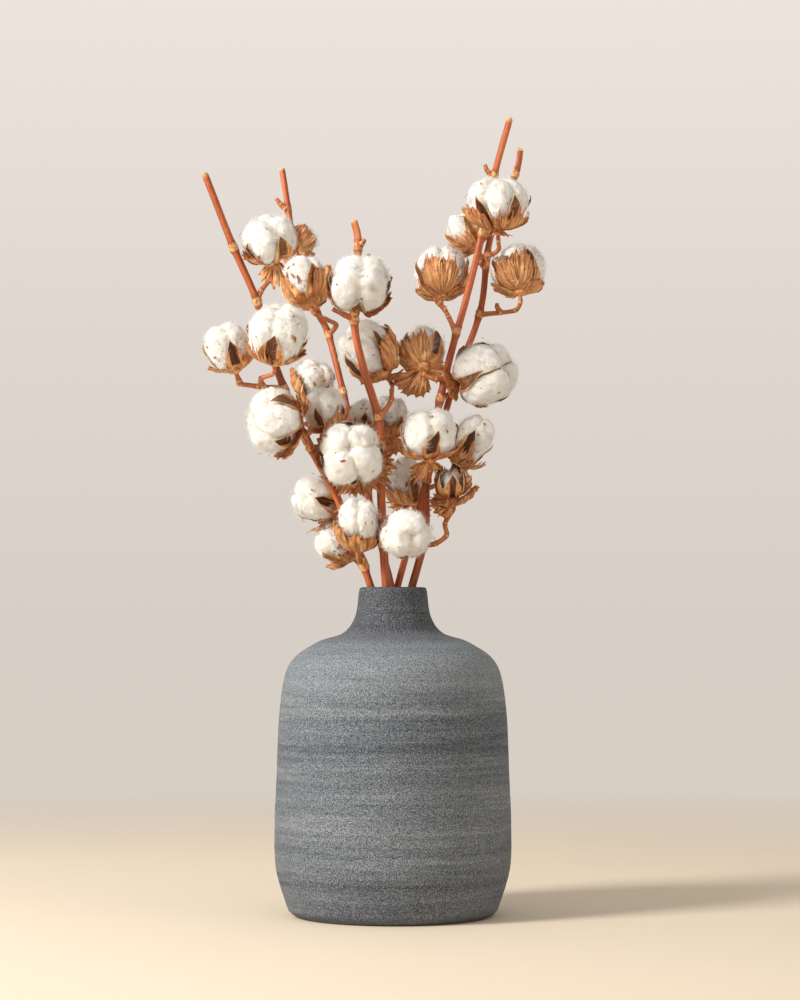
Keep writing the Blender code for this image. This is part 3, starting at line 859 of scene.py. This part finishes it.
def addChips(skin, boll, chance):
    # torn flakes on the cotton: each a curled leaf shape, half as wide as the sine along it
    spots = bollLooks[boll["number"]].get("chips", []) + [
        (chance.uniform(-180, 180), chance.uniform(-30, 60), chance.uniform(1.5, 3.5), chance.uniform(0, 180))
        for _ in range(4)]
    for turn, level, length, lean in spots:
        middle = sphereDirections(math.radians(level), np.radians(np.array(turn)))
        east = unit(np.cross([0, 0, 1], middle))
        north = np.cross(middle, east)
        lengthwise = east * math.cos(math.radians(lean)) + north * math.sin(math.radians(lean))
        crosswise = np.cross(middle, lengthwise)
        s = np.linspace(0, 1, 8)[:, None, None]
        v = np.linspace(-1, 1, 5)[None, :, None]
        wide = 0.2 * np.sin(math.pi * np.clip(s, 0.04, 0.96)) ** 0.7 * (1 + 0.3 * v * np.cos(9 * s))
        bend = 0.25 * (s - 0.5) ** 2 * (1 if chance.uniform() > 0.5 else -1)
        flat = ((s - 0.5) * lengthwise + (wide * v + bend) * crosswise) * length * mm
        direction = unit(middle * 0.5 * boll["width"] + flat)
        radius, _ = cottonRadius(direction, boll)
        radius = radius[..., None] + 0.4 * mm + length * mm * (0.3 * (s - 0.4) ** 2 + 0.05 * v ** 2)
        grid = toWorld(direction * radius, boll)
        addSheet(skin, grid, bractLook["flakeThickness"], along=0.9, fold=0.3,
                 tone=chance.uniform(0.1, 0.8), leafPlace=flat + 0 * grid)


def softMax(a, b, blend):
    # the larger of two, rounded where they meet: (a + b + root((a - b)^2 + blend^2)) / 2
    return 0.5 * (a + b + np.sqrt((a - b) ** 2 + blend ** 2))


def addCup(skin, boll, look, chance):
    # the fused carpels: a cup round the foot of the cotton whose edge runs up each crease into a pointed
    # valve. The edge's level is low + (tip - low) (1 - |d| / w) ^ 0.85, with d the turn from the valve
    width, tip, darkness, lift = look
    locks = boll["locks"]
    each = 32
    turns = boll["crease"] + tau * (np.arange(each * locks + 1) / each - 0.5) / locks
    nearest = np.minimum(((turns - boll["crease"]) * locks / tau + 0.5).astype(int), locks)
    vary = {name: np.append(value, value[0]) for name, value in {
        "tip": np.radians(tip + chance.uniform(-12, 10, locks)),
        "width": width * chance.uniform(0.75, 1.25, locks) * 1.5,
        "tone": np.clip(darkness + chance.uniform(-0.35, 0.15, locks), 0, 1),
        "lean": chance.uniform(-0.2, 0.2, locks),
        "lift": lift * mm * chance.uniform(0.4, 1.5, locks)}.items()}
    beside = turns - boll["crease"] - nearest * tau / locks
    half = 0.5 * boll["width"]
    ragged = lineNoise(turns * 6, 600 + boll["number"])
    low = np.radians(-50) + 0.12 * ragged + 0.10 * lineNoise(turns * 1.4, 9, y=3)
    point = np.clip(1 - np.abs(beside) / vary["width"][nearest], 0, 1) ** 0.85
    top = low + (vary["tip"][nearest] - low) * point + 0.03 * ragged * (1 - point)
    s = np.linspace(0, 1, 22)[:, None] ** 0.9
    level = math.radians(footLevel) + s * (top - math.radians(footLevel))
    free = smoothStep(level, np.radians(-40), vary["tip"][nearest] + 0.01)
    azimuth = turns + vary["lean"][nearest] * free * point
    egg = vectors(half * np.cos(level) * np.cos(azimuth), half * np.cos(level) * np.sin(azimuth),
                  0.5 * boll["length"] * np.sin(level))
    direction = unit(egg)
    under, _ = cottonRadius(direction, boll)
    rim = (top - level) * half / mm
    radius = softMax(under + burrLook["clearance"], 0.88 * np.linalg.norm(egg, axis=-1), 1.0 * mm)
    wave = slopeNoise(egg / (5 * mm) + 9, 500 + boll["number"])
    radius = radius + burrLook["rimLift"] * np.exp(-(rim / 1.6) ** 2) * (0.6 + wave) + 0.4 * mm * wave
    radius = radius + vary["lift"][nearest] * smoothStep(free, 0.35, 1.0) ** 1.4
    grid = direction * radius[..., None]
    place = vectors(half * 0.9 * np.cos(turns), half * 0.9 * np.sin(turns), level * half)
    # where a valve's dark middle lies, partly painted shade
    valve = np.exp(-(beside * np.cos(level) / 0.2) ** 4) * smoothStep(level, np.radians(-62), np.radians(-38))
    addSheet(skin, toWorld(grid, boll), burrLook["thickness"], edge=rim, valve=valve,
             tone=vary["tone"][nearest] + 0 * s, leafPlace=place)


def addButton(skin, boll):
    # the turned foot under the cotton, narrow at the stalk and rounded above: shares of its radius and
    # height, fluted by a cosine
    look = burrLook
    top = -0.5 * boll["length"] - look["gap"]
    share = np.array([(0.34, -1.0), (0.42, -0.93), (0.72, -0.72), (0.94, -0.5), (1.0, -0.25), (0.95, 0.1),
                      (0.8, 0.45), (0.45, 0.75)])
    turns = tau * np.arange(20) / 20
    fluting = 1 + 0.05 * np.cos(boll["locks"] * 2 * turns)
    radius = look["button"] * share[:, :1] * fluting
    height = top + look["buttonHeight"] * share[:, 1:]
    rings = vectors(radius * np.cos(turns), radius * np.sin(turns), height)
    addTube(skin, toWorld(rings, boll), leafPlace=rings, edge=0 * radius + 2, tone=0 * radius + 0.3)


def buildBurr(boll, material):
    chance = np.random.default_rng(500 + boll["number"])
    look = bollLooks[boll["number"]]["valves"]
    skin = Skin()
    addButton(skin, boll)
    addCup(skin, boll, look, chance)
    makePiece(f"burr{boll['number']:02d}", skin, material, f"boll_{boll['number']:02d}_burr")


def leafEdge(v, teeth, ragged, seed):
    # how far each ray of a leaf reaches, from 0 to 1, across the leaf (v from -1 to 1): a rounded outline,
    # uneven, cut into pointed teeth of different lengths; also the count of teeth passed, for the ribs
    saw = (v + 1) / 2 * teeth
    saw = np.clip(saw + 0.4 * lineNoise(v * 3 + 0.1, 21 + seed) * (1 - v ** 6), 0, teeth)
    tooth = np.floor(np.minimum(saw, teeth - 0.001))
    spike = 1 - np.abs(2 * (saw - tooth) - 1)
    tall = 0.65 + 0.9 * lineNoise(tooth * 1.37, seed + 3)
    shape = np.cos(0.5 * math.pi * np.abs(v) ** 1.8 * 0.84) ** 0.5
    shape = shape * (1 + 0.2 * lineNoise(v * 2.6, 31 + seed))
    torn = 0.05 * lineNoise(v * 19, 41 + seed)
    return saw, shape * (1 - ragged + ragged * tall * spike ** 1.8 + torn)


def leafFolds(v, ray, saw, seed):
    # height of a leaf's surface: ribs as a cosine over the teeth and their gaps, small crinkles, and broad
    # waves; also how raised each point is, from 0 to 1, so that its low folds take painted shade
    ribs = np.cos(2 * tau * saw) * smoothStep(ray, 0.05, 0.4)
    flat = vectors(v * 5.0, ray * 4.0, 0)
    ribs = ribs * (0.7 + 0.9 * slopeNoise(flat * 0.7, seed + 1))
    crinkle = layeredNoise(flat, seed, 3)
    broad = slopeNoise(flat * 0.3 + 7, seed + 4)
    look = bractLook
    height = look["ribs"] * ribs + (look["crinkle"] * crinkle + look["waves"] * broad) * ray
    return height, np.clip(0.55 + 0.35 * ribs + 0.7 * crinkle, 0, 1)


def addBract(skin, boll, look, order, chance):
    # a fan of a leaf on a bowl a little wider than the boll: rays run from its foot to long pointed teeth,
    # with a rib on each, and the whole fan may open outward about its foot
    turn, spread, reach, opening, ragged = look
    teeth = round((bractLook["teeth"] + int(chance.integers(-1, 3))) * min(1, (spread + 10) / 55))
    seed = 700 + 10 * boll["number"] + order
    s = np.linspace(0, 1, 17)[:, None]
    v = np.linspace(-1, 1, teeth * 7 + 1)[None, :]
    saw, edge = leafEdge(v, teeth, ragged, seed)
    azimuth = math.radians(turn) + math.radians(spread) * v * (0.35 + 0.65 * smoothStep(s, 0, 0.5))
    azimuth = azimuth + chance.uniform(-0.15, 0.15) * s
    level = np.radians(footLevel + reach * s * edge)
    ray = s * edge
    folds, raised = leafFolds(v, ray, saw, seed)
    clear = (1.3 + 0.45 * order) * mm - 0.6 * mm * ray ** 6 + folds
    least = (0.7 + 1.5 * (1 - smoothStep(level, math.radians(-45), math.radians(-15)))) * mm
    clear = softMax(clear, least, 0.6 * mm)
    flat = (0.5 * boll["width"] + clear) * np.cos(level)
    height = (0.5 * boll["length"] + clear) * np.sin(level)
    foot = -0.5 * boll["length"] - 3.2 * mm
    swing = math.radians(opening) * smoothStep(s, 0, 0.6)
    flat, height = (flat * np.cos(swing) + (height - foot) * np.sin(swing),
                    foot + (height - foot) * np.cos(swing) - flat * np.sin(swing) * 0.7)
    grid = vectors(flat * np.cos(azimuth), flat * np.sin(azimuth), height)
    size = 0.5 * boll["width"]
    place = vectors(v * size * 1.1, order * 0.02, ray * size * 1.8)
    tone = 0.35 * max(0.0, chance.normal() * 0.5)
    addSheet(skin, toWorld(grid, boll), bractLook["thickness"], along=s + 0 * v,
             fold=raised, tone=tone, leafPlace=place)


def addFan(skin, boll, look, order, chance):
    # a leaf bent away from the boll: rays spread from the boll's foot in the front plane, bowed forward along
    # their length by a sine and folded back at both sides by a square
    turn, spread, length, bow, ragged = look
    teeth = bractLook["fanTeeth"]
    seed = 800 + 10 * boll["number"] + order
    s = np.linspace(0.05, 1, 20)[:, None]
    v = np.linspace(-1, 1, teeth * 10 + 1)[None, :]
    saw, edge = leafEdge(v, teeth, ragged, seed)
    ray = s * edge
    angle = math.radians(turn) + math.radians(spread) * v
    folds, raised = leafFolds(v, ray, saw, seed)
    forward = length * mm * (bow * np.sin(2.2 * ray) - 0.3 * v ** 2 * ray) + folds
    foot = boll["centre"] + np.array([0, 0, -0.5 * boll["length"] - 1.5 * mm]) @ boll["axes"]
    out = vectors(np.sin(angle) * ray, 0, -np.cos(angle) * ray) * length * mm
    grid = foot + out + forward[..., None] * np.array([0, -1.0, 0])
    place = vectors(v * length * mm * 0.8, order * 0.03, ray * length * mm)
    addSheet(skin, grid, bractLook["thickness"], along=s + 0 * v,
             fold=raised, tone=0.1 * chance.uniform(), leafPlace=place)


def addCurls(skin, boll, chance):
    # a few dry hairs that curl away from the bracts' edges, as a sine and a cosine of their twist
    count = bractLook["curls"]
    turn = chance.uniform(0, tau, size=(count, 1))
    level = np.radians(chance.uniform(-40, 25, size=(count, 1)))
    s = np.linspace(0, 1, 9)[None, :]
    twist = chance.uniform(-3.5, 3.5, size=(count, 1))
    size = chance.uniform(2.0, 4.5, size=(count, 1)) * mm
    half = 0.5 * boll["width"]
    flat = half * np.cos(level) + size * 0.6 * s * (1 - 0.4 * np.cos(twist * s))
    azimuth = turn + size / half * np.sin(twist * s) * 0.9
    height = (0.5 * boll["length"] + 1 * mm) * np.sin(level) + size * s * np.cos(twist * s * 0.8)
    paths = vectors(flat * np.cos(azimuth), flat * np.sin(azimuth), height)
    addNeedles(skin, toWorld(paths, boll), bractLook["curlRadius"], tone=0.7, along=0.5, fold=0.3)


def buildBracts(boll, material):
    chance = np.random.default_rng(900 + boll["number"])
    skin = Skin()
    for order, look in enumerate(bollLooks[boll["number"]]["bracts"]):
        addBract(skin, boll, look, order, chance)
    for order, look in enumerate(bollLooks[boll["number"]].get("fans", [])):
        addFan(skin, boll, look, order, chance)
    addCurls(skin, boll, chance)
    addChips(skin, boll, chance)
    makePiece(f"bract{boll['number']:02d}", skin, material)


# as the CAD routes them: the cut top's radius, the foot's, the cut's slant, and points from the cut down to
# the foot
stemRoutes = {
    "A": (2.6, 3.1, 0.9, [(-137, -65, 544), (-117, -53, 493), (-100, -44, 454), (-89, -36, 414),
                          (-67, -26, 359), (-38, -14, 303), (-16.3, -4, 244), (-2, -4, 200), (60, -4, 9)]),
    "B": (2.4, 2.7, 0.1, [(-88, 92, 576), (-76, 73, 506), (-60, 59, 461), (-50, 53, 440), (-36, 39, 385),
                          (-18, 22, 310), (-1, 9.7, 244), (8, 9.7, 200), (48, 9.7, 9)]),
    "C": (2.7, 3.8, 0.2, [(-29, -15, 518), (-26, -16, 499), (-29, -18, 444), (-22, -20, 407), (-10, -19, 365),
                          (-9, -15, 317), (-5, -11.6, 244), (1, -11.6, 200), (25, -11.6, 9)]),
    "D": (2.5, 3.4, 1.0, [(89, 27, 602), (77, 21, 558), (68, 17, 514), (56, 11, 465), (40, 6, 406),
                          (26, 3, 335), (24, 3, 285), (14, 3.1, 244), (0, 3.1, 200), (-62, 3.1, 9)]),
    "E": (2.4, 2.7, -0.8, [(99, 58, 586), (95, 55, 566), (75, 49, 514), (67, 44, 457), (47, 37, 402),
                           (26, 26, 326), (3, 15.6, 244), (-8, 15.6, 200), (-56, 15.6, 9)]),
}

# twigs and stubs without a boll of their own: the stem, the radii at both ends, and their points
twigs = [
    ("A", 2.2, 1.6, [(-80, -31, 391), (-88, -34, 391), (-100, -37, 392), (-114, -34, 394)]),
    ("B", 1.9, 1.5, [(-85, 82, 543), (-89, 81, 547), (-92, 81, 551)]),
    ("C", 1.9, 1.5, [(-26, -16, 499), (-23, -18, 501), (-21, -19, 504)]),
    ("C", 2.2, 1.7, [(-29, -18, 444), (-36, -20, 447), (-45, -23, 451)]),
    ("D", 2.0, 1.4, [(77, 21, 558), (72, 20, 562), (70, 19, 567)]),
    ("D", 1.5, 1.2, [(40, 9, 455), (34, 8, 459), (31, 7, 463)]),
    ("E", 1.8, 1.3, [(83, 41, 456), (80, 39, 460), (80, 38, 463)]),
    ("A", 1.6, 1.2, [(-30, -10, 281), (-35, -11, 277), (-36, -11, 272)]),
]

# each boll's stalk, from its stem to where it turns in to the burr
stalks = {
    1: ("A", [(-100, -44, 454), (-97, -44, 462), (-91, -43, 470)]),
    2: ("B", [(-50, 53, 440), (-44, 47, 447), (-51, 35, 450)]),
    3: ("C", [(-29, -18, 444), (-27, -20, 448)]),
    4: ("A", [(-96, -36, 392), (-97, -43, 397)]),
    5: ("A", [(-113, -34, 394)]),
    6: ("B", [(-39, 41, 395), (-54, 56, 386)]),
    7: ("A", [(-62, -24, 348), (-55, -15, 349)]),
    8: ("A", [(-66, -25, 356), (-61, -32, 359)]),
    9: ("C", [(-9, -16, 325), (-20, -12, 331)]),
    10: ("C", [(-10, -19, 371), (-2, -14, 382), (-1, -2, 392)]),
    11: ("D", [(40, 6, 402), (32, 1, 401)]),
    12: ("D", [(47, 8, 438), (42, 9, 449), (39, 12, 455)]),
    13: ("E", [(72, 47, 501), (76, 25, 499), (80, 5, 500)]),
    14: ("E", [(67, 44, 455), (82, 41, 456), (94, 33, 457)]),
    15: ("D", [(36, 4, 387), (43, 11, 391)]),
    16: ("D", [(25, 3, 326), (27, -12, 323)]),
    17: ("E", [(24, 25, 319), (34, 24, 323)]),
    18: ("D", [(24, 3, 276), (32, -3, 277), (40, -6, 283), (39, -6, 292)]),
    19: ("E", [(16, 21, 289), (18, 36, 292)]),
    20: ("C", [(-7, -12, 276), (-2, -20, 280)]),
    21: ("A", [(-24, -6, 263), (-25, -14, 264)]),
    22: ("A", [(-37, -14, 301), (-33, 2, 299)]),
    23: ("A", [(-22, -6, 260), (-22, 7, 258)]),
    24: ("C", [(-9, -18, 350), (-7, -1, 349)]),
    25: ("C", [(-9, -18, 346), (-16, -4, 347)]),
    26: ("B", [(-74, 71, 502), (-82, 74, 499)]),
    27: ("E", [(70, 47, 493), (67, 44, 496)]),
}

# where a leaf once grew: a swollen tan ring with no branch
leafScars = {
    "A": [(-117, -53, 493)],
    "B": [(-60, 59, 461)],
    "C": [(-28, -17, 470)],
    "D": [(68, 17, 514)],
    "E": [(95, 55, 566)],
}

stemLook = {
    "sides": 18,
    "step": 2.2,  # between rings
    "stalkRadii": (1.9, 1.5),
    "swell": 0.28,  # of the radius, at a node
    "knuckle": 0.2,  # of the radius, at each bend of a twig
    "ridges": 0.07,
    "knobs": 0.3,  # how rough the swollen nodes are
    "nodeReach": 4.2,  # how far along the stem a node, a bend and a flare swell it
    "bendReach": 1.8,
    "flareReach": 3.0,
}


def addBranch(skin, points, first, last, slant=0.0, nodes=(), flare=0.0, knuckles=0.0, thin=0.0, seed=0):
    # a tapered round tube along the curve through the points (all in millimetres): its radius swells at each
    # node by a bell curve, flares at its first end, and carries lengthwise ridges
    look = stemLook
    points = np.array(points, dtype=float)
    route = throughPoints(points, stepCounts(points, look["step"], 2))
    along = unit(np.gradient(route, axis=0))
    axis = np.eye(3)[np.abs(along).max(axis=0).argmin()]
    across = unit(axis - along * (along @ axis)[:, None])
    side = np.cross(along, across)
    run = np.concatenate([[0], np.cumsum(np.linalg.norm(np.diff(route, axis=0), axis=1))])
    radius = first + (last - first) * run / run[-1]
    swelling = np.zeros(len(route))
    for node in nodes:
        swelling += np.exp(-(np.linalg.norm(route - np.array(node), axis=1) / look["nodeReach"]) ** 2)
    bends = np.zeros(len(route))
    for point in points[1:-1]:
        bends += np.exp(-(np.linalg.norm(route - point, axis=1) / look["bendReach"]) ** 2)
    flared = flare * np.exp(-run / look["flareReach"])
    radius = radius * (1 + look["swell"] * np.minimum(swelling, 1) + knuckles * bends + flared)
    turns = tau * np.arange(look["sides"]) / look["sides"]
    spin = np.cos(turns)[None, :], np.sin(turns)[None, :]
    bark = vectors(spin[0] * 1.6, spin[1] * 1.6, run[:, None] / 26)
    knobs = layeredNoise(bark * [1.3, 1.3, 9] + 3, 80 + seed, 2) * np.minimum(swelling, 1)[:, None]
    ridges = 1 + look["ridges"] * layeredNoise(bark, 60 + seed, 3) + look["knobs"] * knobs
    girth = radius[:, None] * ridges
    offset = girth[..., None] * (spin[0][..., None] * across[:, None] + spin[1][..., None] * side[:, None])
    rings = route[:, None] + offset
    rings[0] += slant * (offset[0] @ across[0])[:, None] * along[0]
    place = vectors(spin[0] * radius[:, None], spin[1] * radius[:, None], run[:, None]) * mm
    place[..., 0] += seed * 0.013
    node = np.minimum(swelling + 0.8 * bends * (knuckles > 0), 1)[:, None] + 0 * spin[0]
    # a ring just inside each end keeps the cut's edge crisp
    startCap = rings[:1] * 0.12 + rings[0].mean(axis=0) * 0.88
    inner = rings[:1] * 0.98 + rings[0].mean(axis=0) * 0.02
    endCap = rings[-1:] * 0.9 + rings[-1].mean(axis=0) * 0.1
    rings = np.concatenate([startCap, inner, rings, endCap])
    place = np.concatenate([place[:1], place[:1], place, place[-1:]])
    cut = np.zeros(rings.shape[:2])
    cut[:3] = 1
    cut[-1:] = 1
    node = np.concatenate([node[:1], node[:1], node, node[-1:]])
    addTube(skin, rings * mm, barkPlace=place, node=node, cut=cut, thin=np.full(rings.shape[:2], thin))


def stalkEnd(boll):
    # straight in along the boll's axis, and just into the button
    foot = -0.5 * boll["length"] / mm - 4.7
    ends = np.array([(0, 0, foot - 5), (0, 0, foot + 1.2)])
    return (boll["centre"] / mm + ends @ boll["axes"]).tolist()


def buildStem(letter, bolls, material):
    first, last, slant, points = stemRoutes[letter]
    skin = Skin()
    joints = [twig[3][0] for twig in twigs if twig[0] == letter]
    joints += [route[0] for stem, route in stalks.values() if stem == letter] + leafScars[letter]
    addBranch(skin, points, first, last, slant, nodes=joints, seed=ord(letter))
    for k, (stem, begin, end, route) in enumerate(twigs):
        if stem == letter:
            addBranch(skin, route, begin, end, flare=0.5, knuckles=stemLook["knuckle"], thin=0.7, seed=k + 5)
    for number, (stem, route) in stalks.items():
        if stem == letter:
            path = route + stalkEnd(bolls[number])
            addBranch(skin, path, *stemLook["stalkRadii"], flare=0.5, knuckles=stemLook["knuckle"], thin=1.0,
                      seed=number + 20)
    makePiece(f"stem{letter}", skin, material, f"stem_{letter.lower()}")


studioLook = {
    "floor": (222, 207, 184),
    "floorFade": (0.55, 1.5),  # distances from the vase over which the floor gives way to the backdrop
    # how high it is seen, from 0 straight down to 1 straight up, and its colour there
    "backdrop": [(0.42, (216, 206, 196)), (0.5, (215, 206, 197)), (0.56, (224, 216, 208)),
                 (0.62, (237, 229, 221))],
    "floorSides": 96,
    "keyPower": 66,
    "fillPower": 6.0,
    "room": 0.62,
    "roomColour": (1.0, 0.955, 0.9),
    "eye": (0.00525, -1.95, 0.2145),
    "lens": 93.6,
    "lookUp": 2.796,  # degrees above level
}


def buildStage():
    # a round floor of rings of growing radius, clear at its edge
    look = studioLook
    sides = look["floorSides"]
    turns = tau * np.arange(sides) / sides
    radii = np.array([0.02, 0.3, 0.8, 1.6])
    rings = vectors(radii[:, None] * np.cos(turns), radii[:, None] * np.sin(turns), 0)
    faces = ringFaces(len(radii), sides)[:, ::-1].tolist() + [list(range(sides))]
    mesh = bpy.data.meshes.new("studioFloor")
    mesh.from_pydata(rings.reshape(-1, 3).tolist(), [], faces)
    finish = Finish("studioPaper", Specular_IOR_Level=0.1, Roughness=0.9)
    place = finish.place()
    grit = finish.noise(place, 700, 3, 0.6)
    cloud = finish.noise(place, 5, 2)
    paper = finish.mix(cloud, paint(*look["floor"]), tuple(0.96 * c for c in paint(*look["floor"])))
    finish.wear("Base Color", finish.mix(grit.clear(0.3, 0.7) * 0.12, paper, (1, 1, 1)))
    finish.bump(grit, 0.0006, 0.4)
    distance = finish.node("ShaderNodeVectorMath", {"operation": "LENGTH"}, {0: place}, output="Value")
    gone = finish.node("ShaderNodeBsdfTransparent")
    solid = Wire(finish, finish.shader.outputs["BSDF"])
    faded = finish.node("ShaderNodeMixShader", {}, {0: distance.clear(*look["floorFade"]), 1: solid, 2: gone})
    finish.show(faded, "Material Output")
    floor = bpy.data.objects.new("studioFloor", mesh)
    mesh.materials.append(finish.material)
    bpy.context.scene.collection.objects.link(floor)


def addLamp(name, place, target, size, power, colour):
    lamp = bpy.data.lights.new(name, "AREA")
    lamp.shape = "DISK"
    lamp.size = size
    lamp.energy = power
    lamp.color = colour
    thing = bpy.data.objects.new(name, lamp)
    thing.location = place
    thing.rotation_euler = (Vector(target) - Vector(place)).to_track_quat("-Z", "Y").to_euler()
    bpy.context.scene.collection.objects.link(thing)


def buildLights():
    # a soft key from the upper left, a weak warm fill low on the right, and a pale room whose seen side
    # is the plain backdrop
    look = studioLook
    addLamp("keyLamp", (-1.7, -1.1, 1.35), (0, 0, 0.3), 0.7, look["keyPower"], (1.0, 0.975, 0.945))
    addLamp("fillLamp", (1.7, -1.3, 0.5), (0, 0, 0.25), 1.2, look["fillPower"], (1.0, 0.86, 0.72))
    world = bpy.data.worlds.new("studioRoom")
    bpy.context.scene.world = world
    world.use_nodes = True
    room = Nodes(world.node_tree)
    facing = room.node("ShaderNodeTexCoord", output="Generated")
    height = room.node("ShaderNodeSeparateXYZ", {}, {0: facing}, output="Z")
    share = room.node("ShaderNodeMapRange", {}, {"Value": height, "From Min": -1})
    backdrop = room.ramp(share, [(spot, paint(*colour)) for spot, colour in look["backdrop"]])
    seen = room.node("ShaderNodeBackground", {}, {"Color": backdrop})
    light = room.node("ShaderNodeBackground", {}, {"Color": look["roomColour"], "Strength": look["room"]})
    toCamera = room.node("ShaderNodeLightPath", output="Is Camera Ray")
    room.show(room.node("ShaderNodeMixShader", {}, {0: toCamera, 1: light, 2: seen}), "World Output")
    bpy.context.scene.view_settings.view_transform = "Standard"


def buildCamera():
    # eye level a little above the vase's shoulder, looking slightly up, from just under two metres
    lens = bpy.data.cameras.new("studioCamera")
    lens.lens = studioLook["lens"]
    lens.sensor_width = 36
    camera = bpy.data.objects.new("studioCamera", lens)
    camera.location = studioLook["eye"]
    camera.rotation_euler = (math.radians(90 + studioLook["lookUp"]), 0, 0)
    bpy.context.scene.collection.objects.link(camera)
    bpy.context.scene.camera = camera


buildStage()
buildLights()
buildCamera()
print("stage, lights and camera are in place")

buildVase(vaseFinish())
print("vase turned")

bolls = {number: readBoll(number) for number in stalks}
stemMaterial = stemFinish()
for letter in stemRoutes:
    buildStem(letter, bolls, stemMaterial)
print("stems grown")

cottonMaterial, huskMaterial, bractMaterial = cottonFinish(), huskFinish(), bractFinish()
for boll in bolls.values():
    buildCotton(boll, cottonMaterial)
    buildBurr(boll, huskMaterial)
    buildBracts(boll, bractMaterial)
print("bolls opened")
